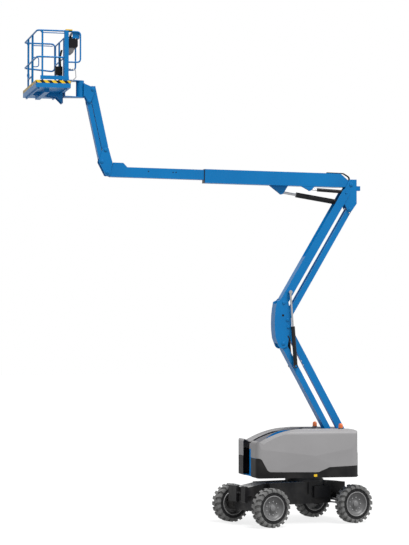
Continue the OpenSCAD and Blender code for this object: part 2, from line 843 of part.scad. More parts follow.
module riser_barrels() {
    color(black)
        both_sides()
            translate([0, -riser_cyl_y, 0])
                ram_barrel(riser_cyl_foot, riser_cyl_eye, riser_barrel_r, 822, 42, 24, 30);
}

module riser_rods() {
    color(steel)
        both_sides()
            translate([0, -riser_cyl_y, 0]) {
                ram_rod(riser_cyl_foot, riser_cyl_eye, riser_barrel_r, 735, 38, riser_eye_half);
                pin(riser_cyl_eye, 22, -riser_eye_half - 6, -riser_eye_half + 1);
            }
}

lift_reach = norm(lift_eye - lift_foot);
level_reach = norm(level_eye - level_foot);

module lift_barrel() {
    color(black)
        translate([0, lift_y, 0])
            ram_barrel(lift_foot, lift_eye, lift_barrel_r, 1010, 46, 24, 50);
}

module lift_rod() {
    color(steel)
        translate([0, lift_y, 0])
            ram_rod(lift_foot, lift_eye, lift_barrel_r, 440, 38, 28);
}

module level_barrel() {
    color(black)
        translate([0, level_y, 0])
            ram_barrel(level_foot, level_eye, level_barrel_r, 572, 34, 18, 34);
}

module level_rod() {
    color(steel)
        translate([0, level_y, 0])
            ram_rod(level_foot, level_eye, level_barrel_r, 240, 27, 20);
}

// Point of the boom at s from its pivot and h above its centre line
function on_boom(s, h) = along(boom_pivot, boom_dir, s, boom_up + h);

// Cheeks of a bracket under the boom that hold a rod eye between them, with pin heads outside
module boom_lug(eye, s0, s1, r, half, pin_r) {
    slabs(half + fit, half + 12)
        polygon(concat([on_boom(s0, -boom_depth / 2 + 2)], arc(eye, r, 330, 210, 6),
                       [on_boom(s1, -boom_depth / 2 + 2)]));
    both_sides() pin(eye, pin_r, half + 11, half + 18);
}

// Fixed boom tube with its tail, its pivot boss and the lugs of both cylinders
module boom_tube() {
    d = boom_depth / 2;
    tail = [on_boom(260, d), on_boom(225, d), on_boom(40, d - 150), on_boom(-40, -boom_up + 50),
            on_boom(-60, -boom_up), on_boom(-30, -boom_up - 52), on_boom(340, -d)];
    mouth = on_boom(boom_len, 0);
    color(blue)
        difference() {
            union() {
                slab(-boom_half, boom_half)
                    polygon([on_boom(260, d), on_boom(boom_len, d), on_boom(boom_len, -d), on_boom(260, -d)]);
                slab(-boom_half, boom_half) polygon(tail);
                translate([0, lift_y, 0]) boom_lug(lift_eye, 1340, 1735, 48, 28, 20);
                translate([0, level_y, 0]) boom_lug(level_eye, 780, 1090, 36, 20, 14);
            }
            slab(-boom_half + boom_wall, boom_half - boom_wall)
                polygon([on_boom(360, d - boom_wall), on_boom(boom_len + 10, d - boom_wall),
                         on_boom(boom_len + 10, -d + boom_wall), on_boom(360, -d + boom_wall)]);
            pin(boom_pivot, 30 + fit, -boom_half - 1, boom_half + 1);
        }
}

// Wear-pad collar round the mouth of the boom tube
module boom_collar() {
    d = boom_depth / 2;
    e = ext_depth / 2;
    color(black)
        difference() {
            slab(-boom_half, boom_half)
                polygon([on_boom(boom_len + fit, d), on_boom(boom_len + 14, d),
                         on_boom(boom_len + 14, -d), on_boom(boom_len + fit, -d)]);
            slab(-ext_half - fit, ext_half + fit)
                polygon([on_boom(boom_len - 10, ext_up + e + fit), on_boom(boom_len + 30, ext_up + e + fit),
                         on_boom(boom_len + 30, ext_up - e - fit), on_boom(boom_len - 10, ext_up - e - fit)]);
        }
}

ext_wall = 8;

// Sliding tube with the raised head that holds the tip knuckle
module extension_tube() {
    e = ext_depth / 2;
    s0 = boom_len - ext_held;
    s1 = boom_len + ext_shown;
    color(blue)
        difference() {
            union() {
                slab(-ext_half, ext_half)
                    polygon([on_boom(s0, ext_up + e), on_boom(s1, ext_up + e),
                             on_boom(s1, ext_up - e), on_boom(s0, ext_up - e)]);
                slab(-ext_half, ext_half)
                    polygon([on_boom(s1 - 10, ext_up + e), on_boom(s1 + 75, ext_up + e + 86),
                             on_boom(s1 + 285, ext_up + e + 86), on_boom(s1 + 342, ext_up - e + 33),
                             on_boom(s1 + 342, ext_up - e), on_boom(s1 - 10, ext_up - e)]);
                slabs(ext_half - 26, ext_half)
                    polygon(concat([on_boom(s1 + 320, ext_up - e), on_boom(s1 + 320, ext_up + 20)],
                                   arc(tip_pivot, 62, 90, 270)));
            }
            slab(-ext_half + ext_wall, ext_half - ext_wall)
                polygon([on_boom(s0 - 10, ext_up + e - ext_wall), on_boom(s1, ext_up + e - ext_wall),
                         on_boom(s1, ext_up - e + ext_wall), on_boom(s0 - 10, ext_up - e + ext_wall)]);
            pin(tip_pivot, tip_pin_r + fit, -ext_half - 1, ext_half + 1);
        }
}

tip_in = 87;
tip_out = 99;

tip_pin_r = 24;
jib_pin_r = 18;

// Short pins on both sides that hold the jib link and leave the middle free for the jib arm
module link_stubs(p) {
    pin(p, jib_pin_r, jib_half + 3, tip_out + 5);
    pin(p, jib_pin_r, -tip_out - 5, -jib_half - 3);
}

// Knuckle at the boom tip, kept level, that carries the feet of the jib
module tip_knuckle() {
    outline = concat([jib_foot + [-60, 30]], arc(jib_foot, 66, 100, 0, 4),
                     [tip_pivot + [104, 205]], arc(tip_pivot, 72, 0, -120, 5),
                     arc(jib_link_foot, 60, 215, 150, 3));
    color(blue) {
        slabs(tip_in, tip_out) polygon(outline);
        pin(tip_pivot + [35, 265], 15, -tip_in - eps, tip_in + eps);
    }
    color(steel) {
        pin(tip_pivot, tip_pin_r, -tip_out - 5, tip_out + 5);
        pin(jib_foot, jib_pin_r, -tip_out - 5, tip_out + 5);
        link_stubs(jib_link_foot);
    }
}

// Main jib arm
module jib_arm() {
    color(blue)
        difference() {
            union() {
                arm_box(jib_foot, jib_head, jib_depth, jib_half, 6, 50, jib_len + 60);
                slab(-jib_half, jib_half)
                    polygon(bar(jib_foot, along(jib_foot, jib_dir, 90), 62, jib_depth / 2));
                pin(jib_head, jib_depth / 2, -jib_half, jib_half);
            }
            pin(jib_foot, jib_pin_r + fit, -jib_half - 1, jib_half + 1);
            pin(jib_head, jib_pin_r + fit, -jib_half - 1, jib_half + 1);
        }
}

// Channel-shaped jib link that closes round the arm when the jib is lowered
module jib_link() {
    back = jib_link_depth / 2;
    a = jib_link_foot;
    b = jib_link_head;
    color(blue)
        difference() {
            union() {
                slabs(jib_link_half - 10, jib_link_half) polygon(bar(a, b, back, back));
                slab(-jib_link_half + 1, jib_link_half - 1)
                    polygon([along(a, jib_dir, 60, -back), along(b, jib_dir, -60, -back),
                             along(b, jib_dir, -60, 6 - back), along(a, jib_dir, 60, 6 - back)]);
            }
            for (p = [a, b])
                pin(p, jib_pin_r + fit, -jib_link_half - 1, jib_link_half + 1);
        }
}

rotator_r = 82;
rotator_low = floor_z - 100;
rotator_high = floor_z + 215;

// Platform mount: the rotary actuator's body and the cheeks that take the heads of the jib
module platform_mount() {
    outline = concat([[rotator[0] + 60, rotator_low + 10], [rotator[0] + 60, rotator_high - 40]],
                     arc(jib_head, 52, 110, -10, 5), arc(jib_link_head, 46, -20, -110, 4),
                     [[rotator[0] + 96, rotator_low + 10]]);
    color(blue) {
        slabs(tip_in, tip_out) polygon(outline);
        slab(-tip_in - eps, tip_in + eps)
            polygon([[rotator[0] + 60, rotator_low + 10], [rotator[0] + 60, rotator_high - 40],
                     [rotator[0] + 84, rotator_high - 40], [rotator[0] + 84, rotator_low + 10]]);
        translate([rotator[0], 0, rotator_low])
            difference() {
                cylinder(r = rotator_r, h = rotator_high - rotator_low, $fn = 64);
                translate([0, 0, -1]) cylinder(r = 30 + fit, h = rotator_high - rotator_low + 2, $fn = 48);
            }
    }
    color(steel) {
        pin(jib_head, jib_pin_r, -tip_out - 5, tip_out + 5);
        link_stubs(jib_link_head);
    }
}

bracket_t = 16;

// Bracket that grips the rotator top and bottom and carries the platform
module platform_bracket() {
    color(blue) {
        for (z = [rotator_low - bracket_t - fit, rotator_high + fit])
            translate([0, 0, z])
                linear_extrude(bracket_t)
                    polygon(concat([[platform_back + 1, -150], [platform_back + 1, 150]],
                                   arc([rotator[0], 0], 84, 90, -90)));
        translate([rotator[0], 0, rotator_low - bracket_t])
            cylinder(r = 30, h = rotator_high - rotator_low + 2 * bracket_t, $fn = 48);
        translate([platform_back + fit, -150, rotator_low - bracket_t])
            cube([14, 300, rotator_high - rotator_low + 2 * bracket_t]);
    }
}

under_z = floor_z - 250;
toe_t = 5;
tread_t = 4;
tread_edge = 70;
switch_x = platform_back - 250;
switch_y = 200 - platform_len / 2;

// Floor pan, toe boards and the box frame below them
module platform_floor() {
    half = platform_len / 2;
    color(blue)
        difference() {
            union() {
                translate([platform_front, -half, floor_z - 40])
                    cube([platform_depth, platform_len, 40 + toe_h]);
                translate([platform_front + 30, -half + 60, under_z])
                    cube([platform_depth - 60, platform_len - 120, floor_z - under_z]);
            }
            translate([platform_front + toe_t, -half + toe_t, floor_z])
                cube([platform_depth - 2 * toe_t, platform_len - 2 * toe_t, toe_h + 1]);
            translate([platform_front + 40, -half + 70, under_z - 1])
                cube([platform_depth - 80, platform_len - 140, floor_z - under_z - 8]);
        }
    color(dark)
        translate([0, 0, floor_z - eps])
            linear_extrude(tread_t + eps)
                difference() {
                    translate([platform_front + tread_edge, tread_edge - half])
                        square([platform_depth - 2 * tread_edge, platform_len - 2 * tread_edge]);
                    translate([switch_x - 20, -half])
                        square([platform_depth, switch_y + half + 240]);
                }
}

// Straight rail tube between two points
module tube(a, b, r = rail_r) {
    v = b - a;
    translate(a)
        rotate([0, acos(v[2] / norm(v)), atan2(v[1], v[0])])
            cylinder(r = r, h = norm(v), $fn = 20);
}

rail_x0 = platform_front + 30;
rail_x1 = platform_back - 30;
rail_y = platform_len / 2 - 30;
rail_top = floor_z + rail_h;
rail_mid = floor_z + 0.52 * rail_h;
gate_y0 = -260;
gate_y1 = 360;

// Upright rail post, a little thicker than the rails it takes
module post(x, y, foot) {
    translate([x, y, foot]) cylinder(r = rail_r + 2, h = rail_top + rail_r + 2 - foot, $fn = 32);
}

// Guard rails: a top and a middle run round the platform, with posts
module platform_rails() {
    foot = floor_z + fit;
    color(blue) {
        for (z = [rail_top, rail_mid]) {
            tube([rail_x0, -rail_y, z], [rail_x1, -rail_y, z]);
            tube([rail_x0, rail_y, z], [rail_x1, rail_y, z]);
            tube([rail_x1, -rail_y, z], [rail_x1, rail_y, z]);
            tube([rail_x0, -rail_y, z], [rail_x0, gate_y0, z]);
            tube([rail_x0, gate_y1, z], [rail_x0, rail_y, z]);
        }
        for (x = [rail_x0, rail_x1])
            for (y = [-rail_y, rail_y])
                post(x, y, foot);
        for (y = [gate_y0, gate_y1])
            post(rail_x0, y, foot);
        for (y = [-300, 300])
            post(rail_x1, y, foot);
    }
}

// Swing gate in the front rail
module platform_gate() {
    y0 = gate_y0 + 2 * rail_r + gap;
    y1 = gate_y1 - 2 * rail_r - gap;
    low = rail_mid - 300;
    color(blue)
        difference() {
            union() {
                for (z = [low, rail_mid, rail_top])
                    tube([rail_x0, y0, z], [rail_x0, y1, z]);
                for (y = [y0, y1])
                    tube([rail_x0, y, low], [rail_x0, y, rail_top]);
                for (z = [low + 60, rail_top - 120]) {
                    translate([rail_x0, gate_y1, z]) cylinder(r = rail_r + 10, h = 50, $fn = 32);
                    translate([rail_x0 - 8, y1, z]) cube([16, gate_y1 - y1, 50]);
                }
            }
            translate([rail_x0, gate_y1, floor_z])
                cylinder(r = rail_r + 2 + fit, h = rail_h, $fn = 32);
        }
}

// Control console on the boom side of the platform
module control_console() {
    color(black)
        translate([rail_x1 + rail_r + fit, -rail_y + 20, rail_top - 440])
            cube([150, 420, 480]);
}

// Foot switch on the platform floor
module foot_switch() {
    color(black)
        translate([switch_x, switch_y, floor_z + fit])
            cube([140, 200, 60]);
}

chassis_frame();
drive_axle();
steer_axle();
chassis_brackets();
swing_bearing();
steer_knuckle_left();
steer_knuckle_right();
tie_rod();
tyre_front_left();
tyre_front_right();
tyre_rear_left();
tyre_rear_right();
wheel_front_left();
wheel_front_right();
wheel_rear_left();
wheel_rear_right();
turntable_frame();
counterweight();
battery_left();
battery_right();
skirt_left();
skirt_right();
cover_left();
cover_right();
beacon_left();
beacon_right();
lower_arm();
lower_link();
elbow();
upper_arm();
upper_link();
top_knuckle();
riser_barrels();
riser_rods();
lift_barrel();
lift_rod();
level_barrel();
level_rod();
boom_tube();
boom_collar();
extension_tube();
tip_knuckle();
jib_arm();
jib_link();
platform_mount();
platform_bracket();
platform_floor();
platform_rails();
platform_gate();
control_console();
foot_switch();
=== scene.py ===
# Looks, lights and camera for the articulating boom lift, in metres, in the row frame.
import math

import bmesh
import bpy
from mathutils import Matrix, Vector


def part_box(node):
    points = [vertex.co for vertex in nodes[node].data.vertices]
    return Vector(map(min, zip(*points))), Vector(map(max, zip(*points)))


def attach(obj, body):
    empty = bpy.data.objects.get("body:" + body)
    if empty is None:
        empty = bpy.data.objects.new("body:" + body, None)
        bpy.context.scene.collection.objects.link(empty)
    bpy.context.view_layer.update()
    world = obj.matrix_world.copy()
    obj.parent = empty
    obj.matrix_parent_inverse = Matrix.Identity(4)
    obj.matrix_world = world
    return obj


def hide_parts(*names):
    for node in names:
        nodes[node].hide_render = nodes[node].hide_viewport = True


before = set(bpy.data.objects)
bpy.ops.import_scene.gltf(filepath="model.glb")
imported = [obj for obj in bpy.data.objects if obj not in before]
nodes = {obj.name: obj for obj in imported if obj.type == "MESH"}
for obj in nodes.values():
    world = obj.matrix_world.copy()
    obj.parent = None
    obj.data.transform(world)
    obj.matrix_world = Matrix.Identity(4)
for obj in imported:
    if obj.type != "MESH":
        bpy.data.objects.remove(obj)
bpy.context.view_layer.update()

# Camera, solved from the photograph
CAMERA_PLACE = (-11.395, -38.915, 3.851)
CAMERA_YAW = 13.384
CAMERA_PITCH = 1.887
CAMERA_LENS = 128.03

# Turn of the chassis under the boom, and its shift along its own length
CHASSIS_TURN = math.radians(17.2)
CHASSIS_SHIFT = -0.3

# Wheels: half the wheelbase, distance from the middle of the chassis, and height of the axles
HALF_WHEELBASE = 1.015
WHEEL_OUT = 0.77
AXLE_HEIGHT = 0.396

UP = (0, 0, 1)
SIDES = ((-1, "left"), (1, "right"))

# Colours, linear
BLUE = (0.001, 0.172, 0.457, 1)
BLUE_DEEP = (0.001, 0.150, 0.412, 1)
CHARCOAL = (0.016, 0.016, 0.018, 1)
BLACK = (0.010, 0.010, 0.011, 1)
COWL_GREY = (0.285, 0.280, 0.285, 1)
RUBBER_GREY = (0.165, 0.165, 0.163, 1)
RUBBER_DARK = (0.016, 0.016, 0.017, 1)
RUBBER_SCUFFED = (0.10, 0.10, 0.098, 1)
RUBBER_WORN = (0.22, 0.22, 0.217, 1)
HOSE_BLACK = (0.012, 0.012, 0.012, 1)
RIM_GREY = (0.140, 0.140, 0.142, 1)
RIM_DEEP = (0.075, 0.075, 0.077, 1)
HUB_GREY = (0.18, 0.18, 0.183, 1)
LIP_PALE = (0.25, 0.25, 0.25, 1)
STEEL = (0.60, 0.60, 0.61, 1)
STEEL_DULL = (0.36, 0.36, 0.37, 1)
CAST_PITS = (0.05, 0.05, 0.052, 1)
HOUSING_DEEP = (0.012, 0.012, 0.013, 1)
# Pale grey of the chassis nose and top, with its deeper drift: painted highlight
DECK_HIGHLIGHT_GREY = (0.34, 0.34, 0.34, 1)
DECK_HIGHLIGHT_DEEP = (0.25, 0.25, 0.25, 1)
GRIP_BLACK = (0.030, 0.030, 0.032, 1)
CONSOLE_GREY = (0.17, 0.17, 0.175, 1)
DUST = (0.33, 0.31, 0.28, 1)
AMBER = (0.62, 0.13, 0.02, 1)
YELLOW = (0.80, 0.52, 0.02, 1)
YELLOW_DEEP = (0.74, 0.47, 0.02, 1)
FLOOR_GREY = (0.15, 0.15, 0.15, 1)
FLOOR_DEEP = (0.14, 0.14, 0.14, 1)
GLOW_ON_OBJECTS = (0.45, 0.45, 0.45, 1)
GLOW_SEEN = (1, 1, 1, 1)

# Values that several finishes share: roughness and how far it varies, specular level, and orange peel
PAINT_ROUGHNESS = 0.36
PAINT_SPREAD = 0.16
PAINT_SPECULAR = 0.16
PEEL_SCALE = 160.0
PEEL_STRENGTH = 0.06
PEEL_DEPTH = 0.0006


class Signal:
    """A value in a finish's node tree, with the usual arithmetic on it."""

    def __init__(self, tree, socket):
        self.tree = tree
        self.socket = socket

    def join(self, operation, *values):
        node = self.tree.nodes.new("ShaderNodeMath")
        node.operation = operation
        for place, value in enumerate(values):
            plug(self.tree, value, node.inputs[place])
        return Signal(self.tree, node.outputs[0])

    def __add__(self, other):
        return self.join("ADD", self, other)

    def __sub__(self, other):
        return self.join("SUBTRACT", self, other)

    def __mul__(self, other):
        return self.join("MULTIPLY", self, other)

    def __rsub__(self, other):
        return self.join("SUBTRACT", other, self)

    __radd__ = __add__
    __rmul__ = __mul__

    def above(self, edge):
        return self.join("GREATER_THAN", self, edge)

    def below(self, edge):
        return self.join("LESS_THAN", self, edge)

    def within(self, low, high):
        return self.above(low) * self.below(high)

    def wrapped(self, period):
        return self.join("FLOORED_MODULO", self, period)

    def either(self, other):
        return self.join("MAXIMUM", self, other)

    def root(self):
        return self.join("SQRT", self)

    def ramp(self, low, high):
        """0 at low, 1 at high, clamped."""
        node = self.tree.nodes.new("ShaderNodeMapRange")
        node.clamp = True
        plug(self.tree, self, node.inputs["Value"])
        node.inputs["From Min"].default_value = low
        node.inputs["From Max"].default_value = high
        return Signal(self.tree, node.outputs["Result"])


def plug(tree, value, socket):
    if isinstance(value, Signal):
        tree.links.new(value.socket, socket)
    elif value is not None:
        socket.default_value = value


class Finish:
    """A material under construction: one shader, and the signals that feed it."""

    def __init__(self, name):
        self.material = bpy.data.materials.new(name)
        self.material.use_nodes = True
        self.tree = self.material.node_tree
        self.shader = self.tree.nodes["Principled BSDF"]
        self.place = self.node("TexCoord", output="Object")

    def node(self, kind, settings=None, output=0, **values):
        node = self.tree.nodes.new("ShaderNode" + kind)
        for key, value in (settings or {}).items():
            setattr(node, key, value)
        for key, value in values.items():
            plug(self.tree, value, node.inputs[key.replace("_", " ")])
        return Signal(self.tree, node.outputs[output])

    def axes(self):
        split = self.tree.nodes.new("ShaderNodeSeparateXYZ")
        self.tree.links.new(self.place.socket, split.inputs[0])
        return [Signal(self.tree, split.outputs[i]) for i in range(3)]

    def noise(self, scale, detail=3.0, rough=0.55, vector=None):
        return self.node("TexNoise", Scale=scale, Detail=detail, Roughness=rough, Vector=vector or self.place)

    def cells(self, scale):
        return self.node("TexVoronoi", output="Distance", Scale=scale, Vector=self.place)

    def stretched(self, scale):
        return self.node("Mapping", Vector=self.place, Scale=scale)

    def mix(self, factor, first, second):
        node = self.tree.nodes.new("ShaderNodeMix")
        node.data_type = "RGBA"
        plug(self.tree, factor, node.inputs[0])
        plug(self.tree, first, node.inputs[6])
        plug(self.tree, second, node.inputs[7])
        return Signal(self.tree, node.outputs[2])

    def bump(self, height, strength, distance):
        return self.node("Bump", Height=height, Strength=strength, Distance=distance)

    def set(self, **values):
        for key, value in values.items():
            plug(self.tree, value, self.shader.inputs[key.replace("_", " ")])

    def rough(self, base, spread, scale):
        return base + (self.noise(scale) - 0.5) * spread


def grime(finish, colour, amount, low, high):
    """Dust that gathers towards the ground and lies in soft blotches."""
    height = finish.axes()[2]
    blotch = finish.noise(2.6, 5.0, 0.62).ramp(0.38, 0.72)
    near_ground = 1 - height.ramp(low, high)
    return finish.mix(blotch * (near_ground * 0.8 + 0.2) * amount * 0.35, colour, DUST)


def sprayed_paint(name, colour, deep, rough=0.34, dust=0.10, coat=0.12):
    """Sprayed enamel: faint colour drift, orange peel, dust towards the ground."""
    f = Finish(name)
    drift = f.mix(f.noise(0.9, 2.0).ramp(0.35, 0.65), colour, deep)
    f.set(Base_Color=grime(f, drift, dust, 0.3, 3.0), Roughness=f.rough(rough, PAINT_SPREAD, 7.0))
    f.set(Coat_Weight=coat, Coat_Roughness=0.12, Specular_IOR_Level=PAINT_SPECULAR)
    f.set(Normal=f.bump(f.noise(PEEL_SCALE, 2.0), PEEL_STRENGTH, PEEL_DEPTH))
    return f.material


def moulded_plastic(name, colour, rough, grain, dust):
    """Moulded plastic with a fine leather grain."""
    f = Finish(name)
    deep = tuple(c * 0.86 for c in colour[:3]) + (1,)
    shade = f.mix(f.noise(1.4).ramp(0.3, 0.7) * 0.5, colour, deep)
    f.set(Base_Color=grime(f, shade, dust, 0.9, 2.0), Roughness=f.rough(rough, 0.14, 11.0))
    f.set(Normal=f.bump(f.cells(grain), 0.10, 0.0005), Specular_IOR_Level=PAINT_SPECULAR)
    return f.material


def drawn_rod(name):
    """Hard bright metal with fine marks drawn out along x."""
    f = Finish(name)
    marks = f.noise(240.0, 2.0, 0.5, f.stretched((0.04, 1, 1)))
    f.set(Base_Color=f.mix(marks.ramp(0.3, 0.8) * 0.25, STEEL, STEEL_DULL))
    f.set(Metallic=1.0, Roughness=f.rough(0.20, 0.10, 30.0))
    f.set(Normal=f.bump(marks, 0.05, 0.0003))
    return f.material


def cast_metal(name, colour):
    """Painted casting with a pitted skin."""
    f = Finish(name)
    pitted = f.mix(f.noise(18.0).ramp(0.3, 0.8) * 0.5, colour, CAST_PITS)
    f.set(Base_Color=grime(f, pitted, 0.3, 0.2, 1.6), Roughness=f.rough(0.62, 0.2, 25.0))
    f.set(Normal=f.bump(f.cells(90.0), 0.25, 0.0012), Specular_IOR_Level=0.2)
    return f.material


def wheel_radius(f, centre):
    """Distance of a point from a wheel's axle."""
    x, y, z = f.axes()
    across = (x - centre.x) * math.cos(CHASSIS_TURN) + (y - centre.y) * math.sin(CHASSIS_TURN)
    up = z - centre.z
    return (across * across + up * up).root()


def tyre_rubber(name, centre):
    """Scuffed grey tread, paler on its crown, and a dark sidewall."""
    f = Finish(name)
    radius = wheel_radius(f, centre)
    scuffed = f.mix(f.noise(14.0, 5.0).ramp(0.35, 0.75) * 0.5, RUBBER_GREY, RUBBER_SCUFFED)
    body = f.mix(radius.ramp(0.312, 0.322), RUBBER_DARK, scuffed)
    worn = f.mix(radius.ramp(0.385, 0.396) * 0.35, body, RUBBER_WORN)
    f.set(Base_Color=worn, Roughness=f.rough(0.82, 0.12, 40.0))
    f.set(Normal=f.bump(f.noise(220.0, 3.0), 0.25, 0.0009), Specular_IOR_Level=0.2)
    return f.material


def wheel_paint(name, centre):
    """Grey wheel with a pale lip and a slightly paler hub."""
    f = Finish(name)
    radius = wheel_radius(f, centre)
    dish = f.mix(f.noise(9.0, 4.0).ramp(0.35, 0.7) * 0.4, RIM_GREY, RIM_DEEP)
    lip = f.mix(radius.above(0.236), dish, LIP_PALE)
    hub = f.mix(radius.below(0.080), lip, HUB_GREY)
    f.set(Base_Color=grime(f, hub, 0.10, 0.0, 1.2), Roughness=f.rough(0.42, 0.18, 22.0), Metallic=0.15)
    f.set(Normal=f.bump(f.noise(130.0), 0.08, 0.0006), Specular_IOR_Level=0.3)
    return f.material


def beacon_lens(name):
    """Amber lens on a black foot, with fine level ribs."""
    f = Finish(name)
    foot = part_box("beacon_left")[0].z + 0.020
    height = f.axes()[2]
    ribs = f.node("TexWave", {"bands_direction": "Z"}, "Fac", Scale=40.0, Vector=f.place)
    f.set(Base_Color=f.mix(height.below(foot), AMBER, BLACK), Roughness=0.18, Coat_Weight=0.6)
    f.set(Normal=f.bump(ribs, 0.15, 0.0008))
    return f.material


def platform_paint(name):
    """Platform blue, with yellow and black hazard stripes on the toe boards."""
    f = Finish(name)
    x, y, z = f.axes()
    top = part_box("platform_floor")[1].z
    board = z.within(top - 0.056, top + 0.01)
    stripe = (x + y * 0.8 + z).wrapped(0.16).above(0.08)
    blue = f.mix(f.noise(1.2).ramp(0.35, 0.65), BLUE, BLUE_DEEP)
    f.set(Base_Color=f.mix(board, blue, f.mix(stripe, YELLOW, BLACK)))
    f.set(Roughness=f.rough(PAINT_ROUGHNESS, PAINT_SPREAD, 8.0), Coat_Weight=0.10, Specular_IOR_Level=0.22)
    f.set(Normal=f.bump(f.noise(PEEL_SCALE), PEEL_STRENGTH, PEEL_DEPTH))
    return f.material


def frame_paint(name):
    """Turntable blue, charcoal at the tail, and charcoal on the underside as painted shade that keeps blue
    light from bouncing onto the chassis top.
    """
    f = Finish(name)
    x, _, z = f.axes()
    tail = 0.98
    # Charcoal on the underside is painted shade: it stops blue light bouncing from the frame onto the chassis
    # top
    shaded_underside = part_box("turntable_frame")[0].z + 0.012
    dark = x.above(tail).either(z.below(shaded_underside))
    blue = f.mix(f.noise(0.9, 2.0).ramp(0.35, 0.65), BLUE, BLUE_DEEP)
    f.set(Base_Color=f.mix(dark, blue, CHARCOAL), Roughness=f.rough(PAINT_ROUGHNESS, PAINT_SPREAD, 7.0))
    f.set(Coat_Weight=0.10, Specular_IOR_Level=PAINT_SPECULAR)
    f.set(Normal=f.bump(f.noise(PEEL_SCALE), PEEL_STRENGTH, PEEL_DEPTH))
    return f.material


def dress(material, *names):
    """Puts the CAD nodes of these names in one material."""
    for name in names:
        for slot in nodes[name].material_slots:
            slot.material = material


def dress_nodes():
    blue = sprayed_paint("boom blue", BLUE, BLUE_DEEP)
    charcoal = sprayed_paint("chassis charcoal", CHARCOAL, BLACK, 0.45, 0.35, 0.15)
    black = sprayed_paint("black enamel", BLACK, CHARCOAL, 0.34, 0.12)
    dress(frame_paint("turntable paint"), "turntable_frame")
    dress(blue, "lower_arm", "lower_link", "elbow", "upper_arm", "upper_link",
          "top_knuckle", "boom_tube", "extension_tube", "tip_knuckle", "jib_arm", "jib_link",
          "platform_mount", "platform_bracket", "platform_rails", "platform_gate")
    dress(charcoal, "chassis_frame", "drive_axle", "steer_axle", "steer_knuckle_left",
          "steer_knuckle_right", "swing_bearing")
    dress(black, "chassis_brackets", "riser_barrels", "lift_barrel", "level_barrel", "boom_collar")
    dress(drawn_rod("chromed rod"), "tie_rod", "riser_rods", "lift_rod", "level_rod")
    dress(cast_metal("cast mass", CHARCOAL), "counterweight")
    dress(moulded_plastic("battery case", BLACK, 0.6, 300.0, 0.2), "battery_left", "battery_right")
    dress(moulded_plastic("grey cowl", COWL_GREY, 0.42, 420.0, 0.12), "cover_left", "cover_right")
    dress(moulded_plastic("black skirt", BLACK, 0.5, 320.0, 0.15), "skirt_left", "skirt_right")
    dress(moulded_plastic("console black", BLACK, 0.45, 300.0, 0.05), "control_console", "foot_switch")
    dress(beacon_lens("amber lens"), "beacon_left", "beacon_right")


BEND_STEPS = 6


class Form:
    """Closed shells gathered into one mesh."""

    def __init__(self):
        self.points = []
        self.faces = []

    def shell(self, points, faces):
        base = len(self.points)
        self.points += [tuple(p) for p in points]
        self.faces += [tuple(base + i for i in face) for face in faces]
        return self

    def loft(self, rings, closed=False):
        """Rings of equal length joined in order, capped unless closed on themselves."""
        size = len(rings[0])
        points = [p for ring in rings for p in ring]
        faces = []
        spans = len(rings) if closed else len(rings) - 1
        for i in range(spans):
            a, b = i * size, (i + 1) % len(rings) * size
            faces += [(a + j, a + (j + 1) % size, b + (j + 1) % size, b + j) for j in range(size)]
        if not closed:
            faces += [tuple(range(size - 1, -1, -1)), tuple((len(rings) - 1) * size + j for j in range(size))]
        return self.shell(points, faces)

    def block(self, low, high, trim=0.0005):
        """Box with its upright edges trimmed."""
        x0, y0, z0 = low
        x1, y1, z1 = high
        plan = [(x0 + trim, y0), (x1 - trim, y0), (x1, y0 + trim), (x1, y1 - trim),
                (x1 - trim, y1), (x0 + trim, y1), (x0, y1 - trim), (x0, y0 + trim)]
        return self.loft([[(x, y, z) for x, y in plan] for z in (z0, z1)])

    def side(self, outline, y0, y1):
        """Slab with its outline in the boom plane."""
        return self.loft([[(x, y, z) for x, z in outline] for y in (y0, y1)])

    def tube(self, path, radius, bend=0.0, sides=12):
        """Round bar along a path with bent corners."""
        path = [Vector(p) for p in path]
        line = [path[0]]
        for before, corner, after in zip(path, path[1:], path[2:]):
            back, on = (before - corner).normalized(), (after - corner).normalized()
            half = back.angle(on) / 2
            room = min((before - corner).length, (after - corner).length) * 0.49
            reach = min(bend / math.tan(half), room)
            if bend <= 0 or reach < 1e-4:
                line.append(corner)
                continue
            start, stop = corner + back * reach, corner + on * reach
            for i in range(BEND_STEPS + 1):
                t = i / BEND_STEPS
                line.append(start * (1 - t) ** 2 + corner * (2 * t * (1 - t)) + stop * t ** 2)
        line.append(path[-1])
        ahead = (line[1] - line[0]).normalized()
        across = ahead.orthogonal().normalized()
        rings = []
        for i, point in enumerate(line):
            a = (line[i] - line[i - 1]).normalized() if i else ahead
            b = (line[i + 1] - line[i]).normalized() if i < len(line) - 1 else a
            ahead = (a + b).normalized()
            across = (across - ahead * across.dot(ahead)).normalized()
            up = ahead.cross(across)
            stretch = 1 / max(0.5, a.dot(ahead)) if bend <= 0 else 1
            rings.append([point + (across * math.cos(k) + up * math.sin(k)) * radius * stretch
                          for k in (math.tau * j / sides for j in range(sides))])
        return self.loft(rings)

    def turned(self, profile, centre, axis, steps=48):
        """Profile of (radius, height) pairs turned about an axis through centre."""
        axis = Vector(axis).normalized()
        across = axis.orthogonal().normalized()
        up = axis.cross(across)
        centre = Vector(centre)
        rings = [[centre + axis * h + (across * math.cos(k) + up * math.sin(k)) * max(r, 0.0004)
                  for k in (math.tau * j / steps for j in range(steps))] for r, h in profile]
        return self.loft(rings)

    def piece(self, name, body, slot, material, smooth, replaces=()):
        """One object of the gathered shells, shaded smooth up to an angle in degrees."""
        name = name.replace(" ", "_")
        mesh = bpy.data.meshes.new(name)
        mesh.from_pydata(self.points, [], self.faces)
        shape = bmesh.new()
        shape.from_mesh(mesh)
        bmesh.ops.recalc_face_normals(shape, faces=shape.faces)
        shape.to_mesh(mesh)
        shape.free()
        mesh.materials.append(material)
        mesh.polygons.foreach_set("use_smooth", [True] * len(mesh.polygons))
        mesh.set_sharp_from_angle(angle=math.radians(smooth))
        obj = bpy.data.objects.new(name, mesh)
        bpy.context.scene.collection.objects.link(obj)
        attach(obj, body)
        if replaces:
            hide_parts(*replaces)
        return obj


